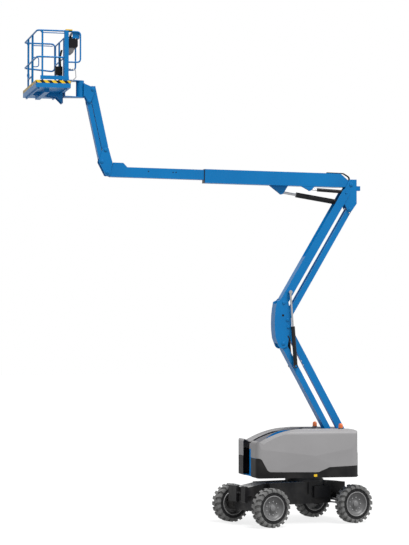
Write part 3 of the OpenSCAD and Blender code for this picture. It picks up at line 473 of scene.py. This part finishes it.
def on_chassis(x, y, z):
    """Point given on the chassis's own axes, in the row frame."""
    c, s = math.cos(CHASSIS_TURN), math.sin(CHASSIS_TURN)
    x += CHASSIS_SHIFT
    return Vector((c * x - s * y, s * x + c * y, z))


# Tyre: lugs on each flank, half the angle of a lug, its stations as outer and inner (offset, radius)
# with their turn; the carcass and the rim as (radius, offset)
LUGS = 20
LUG_HALF_ANGLE = 0.082
TREAD = [((0.117, 0.317), (0.094, 0.320), 0.0), ((0.1245, 0.338), (0.094, 0.340), 0.0),
         ((0.1245, 0.374), (0.094, 0.350), 0.0), ((0.113, 0.3945), (0.094, 0.360), 0.01),
         ((0.052, 0.396), (0.052, 0.366), 0.055), ((-0.008, 0.396), (-0.008, 0.366), 0.115)]
CARCASS = [(0.236, 0.082), (0.256, 0.099), (0.290, 0.102), (0.318, 0.104), (0.345, 0.102), (0.362, 0.092),
           (0.371, 0.070), (0.373, 0.0), (0.371, -0.070), (0.362, -0.092), (0.345, -0.102), (0.318, -0.104),
           (0.290, -0.102), (0.256, -0.099), (0.236, -0.082)]
RIM = [(0.0, 0.090), (0.050, 0.089), (0.059, 0.083), (0.063, 0.052), (0.075, 0.049), (0.079, 0.039),
       (0.100, 0.034), (0.150, 0.039), (0.188, 0.054), (0.212, 0.076), (0.224, 0.097), (0.231, 0.109),
       (0.242, 0.116), (0.251, 0.114), (0.254, 0.105), (0.250, 0.098), (0.236, 0.094), (0.234, 0.080),
       (0.234, -0.080), (0.250, -0.098), (0.254, -0.108), (0.246, -0.116), (0.236, -0.112), (0.226, -0.090),
       (0.220, -0.020), (0.205, 0.010), (0.120, 0.020), (0.0, 0.020)]


def tyre_form(at):
    """Carcass with two rows of lugs; at gives the point at an offset, a radius and an angle."""
    tyre = Form()
    steps = 80
    tyre.loft([[at(offset, radius, math.tau * j / steps) for j in range(steps)]
               for radius, offset in CARCASS], closed=True)
    for flank in (1, -1):
        for i in range(LUGS):
            base = math.tau * (i + (0.5 if flank < 0 else 0)) / LUGS
            stations = []
            for (outer_offset, outer_radius), (inner_offset, inner_radius), turn in TREAD:
                start = base + turn - LUG_HALF_ANGLE
                stop = base + turn + LUG_HALF_ANGLE
                stations.append([at(outer_offset * flank, outer_radius, start),
                                 at(outer_offset * flank, outer_radius, stop),
                                 at(inner_offset * flank, inner_radius, stop),
                                 at(inner_offset * flank, inner_radius, start)])
            tyre.loft(stations)
    return tyre


def wheel(corner, x, right, nuts):
    """Lugged tyre, dished wheel and its nuts, in place of the plain pair."""
    out_way = 1 if right else -1
    centre = on_chassis(x, WHEEL_OUT * out_way, AXLE_HEIGHT)
    outward = (on_chassis(x, out_way, 0) - on_chassis(x, 0, 0)).normalized()
    ahead = (on_chassis(1, 0, 0) - on_chassis(0, 0, 0)).normalized()
    up = Vector(UP)

    def at(offset, radius, angle):
        return centre + outward * offset + (ahead * math.cos(angle) + up * math.sin(angle)) * radius

    rubber = tyre_rubber("tyre rubber " + corner, centre)
    paint = wheel_paint("wheel paint " + corner, centre)
    body = ("front_wheel_" if x < 0 else "rear_wheel_") + ("right" if right else "left")
    tyre_form(at).piece("lugged tyre " + corner, body, "tyre", rubber, 30, ["tyre_" + corner])
    rim = Form().turned(RIM, centre, outward, 72)
    rim.piece("dished wheel " + corner, body, "wheel_grey", paint, 40, ["wheel_" + corner])
    ring = nuts.copy()
    ring.data = nuts.data.copy()
    bpy.context.scene.collection.objects.link(ring)
    turn = Matrix((up.cross(outward), up, outward)).transposed().to_4x4()
    ring.data.transform(Matrix.Translation(centre + outward * NUT_OFFSET) @ turn)
    ring.name = "wheel_nuts_" + corner
    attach(ring, body)


# Wheel nuts: how many, their circle, their radius and height, and the offset of their middles
NUTS = 9
NUT_CIRCLE = 0.135
NUT_RADIUS = 0.013
NUT_HEIGHT = 0.024
NUT_OFFSET = 0.036


def nut_ring(name, material):
    """Geometry Nodes tree that sets hexagon nuts round a circle, made real as one mesh."""
    tree = bpy.data.node_groups.new(name, "GeometryNodeTree")
    given_values = {"Count": ("NodeSocketInt", NUTS), "Ring Radius": ("NodeSocketFloat", NUT_CIRCLE),
                    "Nut Radius": ("NodeSocketFloat", NUT_RADIUS),
                    "Nut Height": ("NodeSocketFloat", NUT_HEIGHT),
                    "Material": ("NodeSocketMaterial", material)}
    for label, (kind, _) in given_values.items():
        tree.interface.new_socket(label, in_out="INPUT", socket_type=kind)
    tree.interface.new_socket("Geometry", in_out="OUTPUT", socket_type="NodeSocketGeometry")
    make = tree.nodes.new
    given, out = make("NodeGroupInput"), make("NodeGroupOutput")
    circle, nut_mesh = make("GeometryNodeMeshCircle"), make("GeometryNodeMeshCylinder")
    spread = make("GeometryNodeInstanceOnPoints")
    real, paint = make("GeometryNodeRealizeInstances"), make("GeometryNodeSetMaterial")
    nut_mesh.inputs["Vertices"].default_value = 6
    link = tree.links.new
    link(given.outputs["Count"], circle.inputs["Vertices"])
    link(given.outputs["Ring Radius"], circle.inputs["Radius"])
    link(given.outputs["Nut Radius"], nut_mesh.inputs["Radius"])
    link(given.outputs["Nut Height"], nut_mesh.inputs["Depth"])
    link(circle.outputs["Mesh"], spread.inputs["Points"])
    link(nut_mesh.outputs["Mesh"], spread.inputs["Instance"])
    link(spread.outputs["Instances"], real.inputs["Geometry"])
    link(real.outputs["Geometry"], paint.inputs["Geometry"])
    link(given.outputs["Material"], paint.inputs["Material"])
    link(paint.outputs["Geometry"], out.inputs["Geometry"])
    host = bpy.data.objects.new(name, bpy.data.meshes.new(name))
    bpy.context.scene.collection.objects.link(host)
    grown = host.modifiers.new("nuts", "NODES")
    grown.node_group = tree
    for item in tree.interface.items_tree:
        if item.in_out == "INPUT":
            grown[item.identifier] = given_values[item.name][1]
    bpy.context.view_layer.update()
    seen = host.evaluated_get(bpy.context.evaluated_depsgraph_get())
    mesh = bpy.data.meshes.new_from_object(seen)
    host.modifiers.remove(grown)
    bpy.data.objects.remove(host)
    return bpy.data.objects.new(name, mesh)


def wheels():
    nuts = nut_ring("wheel nut ring", drawn_rod("zinc nuts"))
    for end, x in (("front", -HALF_WHEELBASE), ("rear", HALF_WHEELBASE)):
        for side, name in SIDES:
            wheel(end + "_" + name, x, side > 0, nuts)
    spare = nuts.data
    bpy.data.objects.remove(nuts)
    bpy.data.meshes.remove(spare)


# Guard rails: heights, rows of posts, ends, the gate's gap, bar radii, how far the thin and the inner
# rail lie under the top one, the console's hoops and the kick plate
RAIL_FOOT = 8.8308
RAIL_MID = 9.4025
RAIL_TOP = 9.9305
OUTER_ROW = -5.758
INNER_ROW = -5.128
WIDE_POST = -5.162
RAIL_END = 0.885
GATE_EDGES = (-0.26, 0.36)
RAIL_BAR = 0.017
POST_BAR = 0.019
HOOP_BAR = 0.016
INNER_BAR = 0.015
THIN_BAR = 0.010
THIN_RAIL_DROP = 0.045
INNER_RAIL_DROP = 0.06
CONSOLE_HOOPS = (-0.865, -0.44)
KICK_PLATE = ((-5.70, -0.9135, 8.952), (-5.125, -0.9095, 9.028))


def hoop(form, inner, outer, y, low, high, bar, bend):
    """Bar bent to a U that stands across the platform."""
    form.tube([(inner, y, high), (outer, y, high), (outer, y, low), (inner, y, low)], bar, bend)


def guard_rails(blue):
    """Rails bent round the corners, posts, the console's hoops and the kick plate."""
    rails = Form()
    near_edge, far_edge = GATE_EDGES
    for z, bend in ((RAIL_TOP, 0.085), (RAIL_MID, 0.06)):
        rails.tube([(WIDE_POST, -RAIL_END, z), (OUTER_ROW, -RAIL_END, z), (OUTER_ROW, near_edge, z)],
                   RAIL_BAR, bend)
    rails.tube([(OUTER_ROW, far_edge, RAIL_TOP), (OUTER_ROW, RAIL_END, RAIL_TOP),
                (INNER_ROW, RAIL_END, RAIL_TOP), (INNER_ROW, RAIL_END, RAIL_MID - 0.05),
                (OUTER_ROW, RAIL_END, RAIL_MID), (OUTER_ROW, far_edge, RAIL_MID)], RAIL_BAR, 0.085)
    thin = RAIL_TOP - THIN_RAIL_DROP
    for x0, x1, y in ((-5.655, WIDE_POST, -RAIL_END), (-5.60, -5.17, RAIL_END)):
        rails.tube([(x0, y, thin), (x1, y, thin)], THIN_BAR)
    rails.block((WIDE_POST - 0.056, -RAIL_END - 0.026, RAIL_FOOT),
                (WIDE_POST + 0.032, -RAIL_END + 0.026, RAIL_TOP + 0.012), 0.006)
    outer_posts = ((-5.655, -RAIL_END), (-5.60, RAIL_END), (OUTER_ROW, near_edge), (OUTER_ROW, far_edge))
    inner_posts = ((INNER_ROW, 0.82), (INNER_ROW, 0.30), (INNER_ROW, -0.30))
    for posts, head in ((outer_posts, RAIL_TOP + 0.004), (inner_posts, RAIL_TOP - 0.05)):
        for x, y in posts:
            rails.tube([(x, y, RAIL_FOOT), (x, y, head)], POST_BAR)
    inner_top = RAIL_TOP - INNER_RAIL_DROP
    for z in (inner_top, RAIL_MID + 0.07):
        rails.tube([(-5.135, -RAIL_END, z), (INNER_ROW, RAIL_END - 0.02, z)], INNER_BAR)
    near_hoop, far_hoop = CONSOLE_HOOPS
    hoop(rails, -5.15, -4.887, near_hoop, 9.315, RAIL_TOP - 0.004, HOOP_BAR, 0.075)
    hoop(rails, -5.13, -4.915, far_hoop, 9.215, inner_top, HOOP_BAR, 0.075)
    rails.tube([(-5.13, far_hoop, RAIL_FOOT), (-5.13, far_hoop, inner_top)], INNER_BAR)
    hoop(rails, -5.74, -5.635, near_edge, 9.285, 9.475, THIN_BAR, 0.055)
    gusset = [(-5.70, RAIL_TOP - 0.02), (-5.655, RAIL_TOP - 0.02), (-5.655, RAIL_TOP - 0.075)]
    rails.side(gusset, -RAIL_END - 0.003, -RAIL_END + 0.003)
    rails.block(*KICK_PLATE)
    plate_back = KICK_PLATE[1][1]
    for z in (8.97, 9.01):
        rails.block((-5.66, plate_back, z - 0.004), (-5.64, -RAIL_END, z + 0.004))
    rails.piece("bent guard rails", "platform", "blue_paint", blue, 40, ["platform_rails"])


# Console: profiles of its sticks and switches, the height that they stand on, and the lid's sheet
STICK = [(0.030, 0.0), (0.030, 0.02), (0.012, 0.03), (0.010, 0.075), (0.016, 0.085), (0.014, 0.11),
         (0.0, 0.115)]
SWITCH = [(0.007, 0), (0.007, 0.01), (0.004, 0.012), (0.004, 0.034), (0.0, 0.036)]
CONSOLE_FACE = 9.788
LID_SHEET = 0.006


def console(blue, dark):
    """Console case with its sticks and switches, its lower case, and the lid over it."""
    case = Form()
    outline = [(-5.128, 9.79), (-4.955, 9.79), (-4.935, 9.755), (-4.935, 9.64), (-4.955, 9.615),
               (-5.128, 9.615)]
    case.side(outline, -0.842, -0.462)
    for y in (-0.56, -0.70):
        case.turned(STICK, (-5.05, y, CONSOLE_FACE), UP, 20)
    for y in (-0.80, -0.76, -0.50):
        case.turned(SWITCH, (-5.09, y, CONSOLE_FACE), UP, 12)
    case.piece("console case", "platform", "console_black", dark, 35, ["control_console"])
    grey = moulded_plastic("console grey", CONSOLE_GREY, 0.45, 300.0, 0.05)
    lower = Form()
    lower.side([(-5.125, 9.612), (-4.99, 9.612), (-5.03, 9.51), (-5.125, 9.495)], -0.83, -0.475)
    lower.piece("console lower case", "platform", "console_black", grey, 35)
    x0, y0, z0 = -5.045, -0.842, 9.797
    x1, y1, z1 = -4.903, -0.458, 9.929
    lid = Form()
    lid.block((x0, y0 - LID_SHEET, z0), (x1, y0, z1 + LID_SHEET), 0.002)
    lid.block((x0, y0, z1), (x1, y1, z1 + LID_SHEET), 0.002)
    lid.block((x1 - LID_SHEET, y0, z0), (x1, y1, z1), 0.002)
    lid.piece("console lid", "platform", "blue_paint", blue, 35)
    yellow = sprayed_paint("warning yellow", YELLOW, YELLOW_DEEP)
    plate = Form().block((-5.19, -0.911, 9.9425), (-5.055, -0.842, 9.964), 0.003)
    plate.piece("blank yellow plate", "platform", "blue_paint", yellow, 30)


def tool_column(dark):
    """Black column with its clamp and bent head, and the thin rod near the console."""
    x, y, shoulder = -5.19, -0.25, 9.30
    column = Form()
    column.tube([(x, y, 8.836), (x, y, shoulder)], 0.040, sides=24)
    column.block((-5.30, y - 0.06, 9.13), (-5.155, y + 0.06, shoulder), 0.01)
    column.tube([(x, y, shoulder - 0.01), (x - 0.015, y, 9.48), (x + 0.025, y, 9.64)], 0.020, 0.09, 16)
    column.piece("tool column", "platform", "console_black", dark, 35)
    bent = Form()
    bent.tube([(rod_x, -0.80, rod_z) for rod_x, rod_z in
               ((-5.14, 9.19), (-4.975, 9.175), (-4.965, 9.02), (-5.07, 8.92))], 0.009, 0.035)
    bent.piece("bent grey rod", "platform", "bare_steel", drawn_rod("bent rod"), 40)


def platform_work():
    blue = sprayed_paint("rail blue", BLUE, BLUE_DEEP)
    dark = moulded_plastic("console case", BLACK, 0.42, 300.0, 0.05)
    guard_rails(blue)
    console(blue, dark)
    tool_column(dark)


# Tray: height of the toe boards, depth of the floor, sheet of the boards, and the non-slip plate's margin
TOE_BOARD = 0.105
TRAY_DEPTH = 0.04
TRAY_SHEET = 0.005
GRIP_MARGIN = 0.07


def platform_tray():
    """Floor with toe boards over its beams, and the non-slip plate."""
    low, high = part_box("platform_floor")
    top = high.z - TOE_BOARD
    under = top - TRAY_DEPTH
    tray = Form()
    tray.block((low.x, low.y, under), (high.x, high.y, top))
    for y0, y1 in ((low.y, low.y + TRAY_SHEET), (high.y - TRAY_SHEET, high.y)):
        tray.block((low.x, y0, top), (high.x, y1, high.z))
    for x0, x1 in ((low.x, low.x + TRAY_SHEET), (high.x - TRAY_SHEET, high.x)):
        tray.block((x0, low.y, top), (x1, high.y, high.z))
    tray.block((-5.575, -0.64, top - 0.104), (-5.475, 0.64, under), 0.004)
    plate = high.x - 0.036
    tray.block((plate, -0.13, low.z), (plate + 0.006, 0.13, under))
    gusset = [(plate, low.z), (plate, under), (low.x + 0.09, under), (low.x + 0.09, top - 0.075),
              (-5.47, top - 0.096), (high.x - 0.16, top - 0.13)]
    for y in (-0.12, 0.108):
        tray.side(gusset, y, y + 0.012)
    for x in (low.x + 0.05, high.x - 0.10):
        tray.block((x, low.y + 0.05, top - 0.07), (x + 0.03, high.y - 0.05, under))
    paint = platform_paint("tray paint")
    tray.piece("platform tray", "platform", "blue_paint", paint, 30, ["platform_floor"])
    step = high.x - 0.275
    grip = Form()
    grip.block((low.x + GRIP_MARGIN, low.y + GRIP_MARGIN, top), (step, high.y - GRIP_MARGIN, top + 0.004))
    grip.block((step, -0.47, top), (high.x - GRIP_MARGIN, high.y - GRIP_MARGIN, top + 0.004))
    grip.piece("non-slip plate", "platform", "dark_paint", cast_metal("non-slip plate", GRIP_BLACK), 30)


# Inner panels: arc that follows the crown of the cowls, how far they stay under it, and their flat top
# and foot
CROWN_RADIUS = 2.025
CROWN_CENTRE = (-0.040, -0.080)
PANEL_MARGIN = 0.030
PANEL_TOP = 1.853
PANEL_FOOT = 1.42


def slab(form, side, x0, x1, near, far, z0, z1):
    """Upright block between two distances from the boom plane, on one side of it."""
    return form.block((x0, min(side * near, side * far), z0), (x1, max(side * near, side * far), z1))


def inner_panels():
    """Grey panels beside the riser well, each on four brackets."""
    grey = moulded_plastic("inner panel grey", COWL_GREY, 0.48, 420.0, 0.08)

    def crown(x):
        middle, base = CROWN_CENTRE
        return base + math.sqrt(max(0.0, CROWN_RADIUS ** 2 - (x - middle) ** 2))

    outline = [(-1.10, PANEL_FOOT), (-1.10, 1.618)]
    for i in range(16):
        x = -1.07 + 0.06 * i
        outline.append((x, min(crown(x) - PANEL_MARGIN, PANEL_TOP)))
    outline += [(0.0, PANEL_TOP), (0.86, PANEL_TOP), (0.90, PANEL_FOOT)]
    for side, name in SIDES:
        panel = Form()
        panel.side(outline, side * 0.2925, side * 0.2975)
        for x in (-0.70, -0.25, 0.20, 0.62):
            slab(panel, side, x, x + 0.06, 0.266, 0.2925, 1.50, 1.56)
        panel.piece("inner panel " + name, "turntable", "cowl_grey", grey, 30)


def skirt_liners():
    """Black liners behind the parting line, near the noses of the cowls."""
    black = moulded_plastic("skirt rubber", BLACK, 0.6, 320.0, 0.05)
    for side, name in SIDES:
        liner = slab(Form(), side, -1.165, -0.82, 0.735, 0.741, 1.00, 1.50)
        liner.piece("skirt liner " + name, "turntable", "skirt_black", black, 30)


# Counterweight: foot of the casting, and foot, front face and back face of the tail ribs
WEIGHT_FOOT = 0.9705
TAIL_FOOT = 0.95
TAIL_FACE = 1.0925
TAIL_BACK = 1.118


def cast_counterweight():
    """Trimmed towers and wings, with two ribs and a plate at the tail."""
    weight = Form()
    tower = [(0.44, WEIGHT_FOOT), (0.44, 1.42), (0.56, 1.56), (0.98, 1.56), (1.03, 1.50), (1.03, WEIGHT_FOOT)]
    wing = [(0.47, WEIGHT_FOOT), (0.47, 1.38), (0.52, 1.43), (0.84, 1.43), (0.88, 1.39), (0.88, WEIGHT_FOOT)]
    for side in (-1, 1):
        weight.side(tower, side * 0.169, side * 0.2535)
        weight.side(wing, side * 0.2665, side * 0.70)
    rib = [(TAIL_FACE, TAIL_FOOT), (TAIL_FACE, 1.47), (1.108, 1.46), (TAIL_BACK, 1.42),
           (TAIL_BACK, TAIL_FOOT)]
    for y0, y1 in ((-0.15, -0.09), (0.09, 0.15)):
        weight.side(rib, y0, y1)
    plate = [(TAIL_FACE, TAIL_FOOT), (TAIL_FACE, 1.299), (TAIL_BACK, 1.299), (TAIL_BACK, TAIL_FOOT)]
    weight.side(plate, -0.0899, 0.0899)
    cast = cast_metal("cast weight", CHARCOAL)
    weight.piece("cast counterweight", "turntable", "cast_mass", cast, 30, ["counterweight"])


def blank_plate():
    paint = sprayed_paint("plate yellow", YELLOW, YELLOW_DEEP)
    plate = Form().block((-0.025, -0.7935, 0.986), (0.045, -0.7915, 1.032), 0.001)
    plate.piece("blank plate", "turntable", "skirt_black", paint, 30)


DOME = [(0.0, 0.0), (0.052, 0.0), (0.053, 0.016), (0.047, 0.020), (0.045, 0.075), (0.038, 0.098),
        (0.024, 0.110), (0.0, 0.114)]


def beacon_domes():
    """Amber domes in place of the plain beacons, each riding with its cover."""
    lens = beacon_lens("amber dome")
    for name in ("left", "right"):
        beacon = "beacon_" + name
        low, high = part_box(beacon)
        foot = ((low.x + high.x) / 2, (low.y + high.y) / 2, low.z)
        dome = Form().turned(DOME, foot, UP, 40)
        dome.piece("amber " + beacon, "cover_" + name, "amber_lens", lens, 40, [beacon])


def turntable_work():
    inner_panels()
    skirt_liners()
    cast_counterweight()
    blank_plate()
    beacon_domes()


def placed(form):
    """The form moved from the chassis's own axes to the turned chassis."""
    form.points = [tuple(on_chassis(*p)) for p in form.points]
    return form


def axle_housing():
    """Housing over the steered axle, with the guard plates beside the frame and at its nose."""
    black = sprayed_paint("housing black", BLACK, HOUSING_DEEP, 0.4, 0.2)
    housing = Form()
    housing.side([(0.46, 0.62), (0.62, 0.845), (1.14, 0.79), (1.17, 0.62)], -0.24, 0.24)
    for x0, x1 in ((0.17, 0.25), (0.56, 0.72)):
        for y0, y1 in ((-0.36, -0.331), (0.331, 0.36)):
            housing.block((x0, y0, 0.60), (x1, y1, 0.845), 0.004)
    housing.block((-1.302, 0.2505, 0.475), (-1.2405, 0.415, 0.798), 0.012)
    placed(housing).piece("axle housing", "chassis", "dark_paint", black, 30)


def deck_highlight():
    """Pale grey plate on the sloping nose and on the flat top of the chassis: a painted highlight of these
    upward faces.
    """
    # Pale grey here is painted highlight on the upward faces of the charcoal chassis
    pale = sprayed_paint("deck highlight grey", DECK_HIGHLIGHT_GREY, DECK_HIGHLIGHT_DEEP, 0.7, 0.3, 0.0)
    deck = Form()
    deck.side([(-1.235, 0.772), (-1.235, 0.776), (-0.762, 0.855), (-0.762, 0.851)], -0.215, 0.215)
    deck.block((-0.757, -0.327, 0.8505), (0.735, 0.327, 0.8535))
    placed(deck).piece("nose deck highlight", "chassis", "dark_paint", pale, 30)


def bright_fittings():
    """Three bolts on the nose and the two bright rods beside the steered axle."""
    bits = Form()
    for y in (-0.20, 0.12, 0.20):
        bits.turned([(0.018, 0), (0.018, 0.022), (0.012, 0.026), (0.0, 0.026)], (-1.275, y, 0.8005), UP, 6)
    for side in (-1, 1):
        bits.tube([(0.89, side * 0.17, 0.485), (0.89, side * 0.46, 0.485)], 0.014)
    placed(bits).piece("bright fittings", "chassis", "bare_steel", drawn_rod("bright fittings"), 35)


def chassis_work():
    axle_housing()
    deck_highlight()
    bright_fittings()


# Pins of the arms: body, x, z, and distance of the cap's seat from the boom plane
PINS = (("elbow", -0.475, 4.553, 0.158), ("elbow", -0.489, 3.705, 0.158),
        ("elbow", -0.379, 4.049, 0.158), ("elbow", -0.396, 4.197, 0.158),
        ("top_knuckle", 1.0008, 7.0348, 0.126), ("top_knuckle", 0.9688, 6.5138, 0.121),
        ("tip_knuckle", -4.1925, 7.1978, 0.104), ("tip_knuckle", -4.2265, 7.6558, 0.104),
        ("tip_knuckle", -4.3075, 7.4158, 0.104),
        ("platform_mount", -4.4969, 8.8855, 0.104), ("platform_mount", -4.5779, 8.6455, 0.104),
        ("turntable", 0.904, 1.150, 0.166), ("turntable", 1.014, 1.494, 0.166))
CAP_THICKNESS = 0.009
ELBOW_FACE = 0.1505
PAD_FACE = 0.080


def pin_caps(blue):
    """Round caps on both ends of each pin, with a small bolt head in the middle."""
    for i, (body, x, z, seat) in enumerate(PINS):
        cap = Form()
        for side in (-1, 1):
            out_way = (0, side, 0)
            cap.turned([(0.036, 0.0), (0.036, 0.006), (0.030, CAP_THICKNESS), (0.0, CAP_THICKNESS)],
                       (x, side * seat, z), out_way, 32)
            cap.turned([(0.007, 0.0), (0.007, 0.006), (0.0, 0.006)],
                       (x, side * (seat + CAP_THICKNESS), z), out_way, 6)
        cap.piece("pin cap %02d" % (i + 1), body, "blue_paint", blue, 35)


def elbow_hole_shade(rubber):
    """Thin black disc and slot on both flanks of the elbow: painted shade of a hole and a slot."""
    # Black sheets laid on the flank stand in for the dark inside of the openings: painted shade
    marks = Form()
    slot = [(-0.402, 3.862), (-0.378, 3.870), (-0.332, 3.760), (-0.356, 3.750)]
    for side in (-1, 1):
        marks.turned([(0.024, 0.0), (0.024, 0.002), (0.0, 0.002)],
                     (-0.496, side * ELBOW_FACE, 4.286), (0, side, 0), 24)
        marks.side(slot, side * ELBOW_FACE, side * (ELBOW_FACE + 0.002))
    marks.piece("elbow hole shade", "elbow", "skirt_black", rubber, 30)


def pad_bolts(rubber):
    """Dark bolt heads of the wear pads, along the sliding tube."""
    spots = Form()
    for x, z in ((-3.334, 7.231), (-2.819, 7.221), (-2.756, 7.222)):
        for side in (-1, 1):
            spots.turned([(0.013, -0.002), (0.013, 0.001), (0.0, 0.001)],
                         (x, side * PAD_FACE, z), (0, side, 0), 20)
    spots.piece("extension pad bolts", "extension", "skirt_black", rubber, 30)


def hose_unions():
    """Hexagon unions on the riser's barrels and on the top knuckle."""
    steel = drawn_rod("hose fittings")
    union = [(0.014, 0.0), (0.014, 0.012), (0.009, 0.014), (0.009, 0.026), (0.0, 0.026)]
    for body, places in (("riser_barrels", ((-0.131, -0.225, 3.340), (-0.088, -0.225, 3.257))),
                         ("top_knuckle", ((0.855, -0.119, 6.520), (0.954, -0.119, 6.438)))):
        unions = Form()
        for place in places:
            unions.turned(union, place, (0, -1, 0), 6)
        unions.piece("hose unions " + body, body, "bare_steel", steel, 35)


def tail_hoses(rubber):
    """Three short hoses over the tail of the boom, fixed at both ends."""
    hoses = Form()
    for y in (-0.028, 0.0, 0.028):
        hoses.tube([(0.93, y, 7.05), (1.02, y, 7.18), (0.86, y, 7.274), (0.50, y, 7.283)], 0.010, 0.09, 10)
    hoses.piece("boom tail hoses", "boom", "skirt_black", rubber, 45)


def arm_work():
    rubber = moulded_plastic("hose rubber", HOSE_BLACK, 0.5, 260.0, 0.0)
    pin_caps(sprayed_paint("arm fittings blue", BLUE, BLUE_DEEP))
    elbow_hole_shade(rubber)
    pad_bolts(rubber)
    hose_unions()
    tail_hoses(rubber)


# Studio: half width of the floor, and the light that the sky gives objects and adds for the camera
FLOOR_REACH = 150.0
SKY_LIGHT = 0.66
SKY_SEEN = 0.34


def studio_floor():
    """Pale floor that shows brighter to the camera than the light it throws on the lift."""
    mesh = bpy.data.meshes.new("studio floor")
    reach = FLOOR_REACH
    corners = [(-reach, -reach, 0), (reach, -reach, 0), (reach, reach, 0), (-reach, reach, 0)]
    mesh.from_pydata(corners, [], [(0, 1, 2, 3)])
    floor = bpy.data.objects.new("studio_floor", mesh)
    bpy.context.scene.collection.objects.link(floor)
    pale = Finish("studio floor")
    pale.set(Base_Color=pale.mix(pale.noise(0.4) * 0.1, FLOOR_GREY, FLOOR_DEEP), Roughness=0.9)
    direct = pale.node("LightPath", output="Is Camera Ray")
    pale.set(Emission_Color=pale.mix(direct, GLOW_ON_OBJECTS, GLOW_SEEN), Emission_Strength=0.80)
    mesh.materials.append(pale.material)


def studio_sky():
    """White sky, brighter to the camera than on the lift."""
    world = bpy.data.worlds.new("studio")
    bpy.context.scene.world = world
    world.use_nodes = True
    sky = world.node_tree
    sky.nodes["Background"].inputs["Color"].default_value = (1, 1, 1, 1)
    rays = sky.nodes.new("ShaderNodeLightPath")
    seen = Signal(sky, rays.outputs["Is Camera Ray"])
    plug(sky, seen * SKY_SEEN + SKY_LIGHT, sky.nodes["Background"].inputs["Strength"])


def studio():
    studio_floor()
    bpy.context.scene.view_settings.view_transform = "Standard"
    studio_sky()
    for name, strength, angle, turn in (("key", 3.1, 24, (27, 0, 18)), ("fill", 0.25, 50, (62, 0, 70))):
        light = bpy.data.objects.new(name, bpy.data.lights.new(name, "SUN"))
        light.data.energy = strength
        light.data.angle = math.radians(angle)
        light.rotation_euler = [math.radians(a) for a in turn]
        bpy.context.scene.collection.objects.link(light)


def photo_camera():
    camera = bpy.data.objects.new("photo camera", bpy.data.cameras.new("photo camera"))
    camera.data.lens = CAMERA_LENS
    camera.data.sensor_width = 36
    camera.data.clip_end = 400
    camera.location = CAMERA_PLACE
    camera.rotation_euler = (math.radians(90 + CAMERA_PITCH), 0, -math.radians(CAMERA_YAW))
    bpy.context.scene.collection.objects.link(camera)
    bpy.context.scene.camera = camera


photo_camera()
studio()
dress_nodes()
wheels()
platform_work()
platform_tray()
turntable_work()
chassis_work()
arm_work()
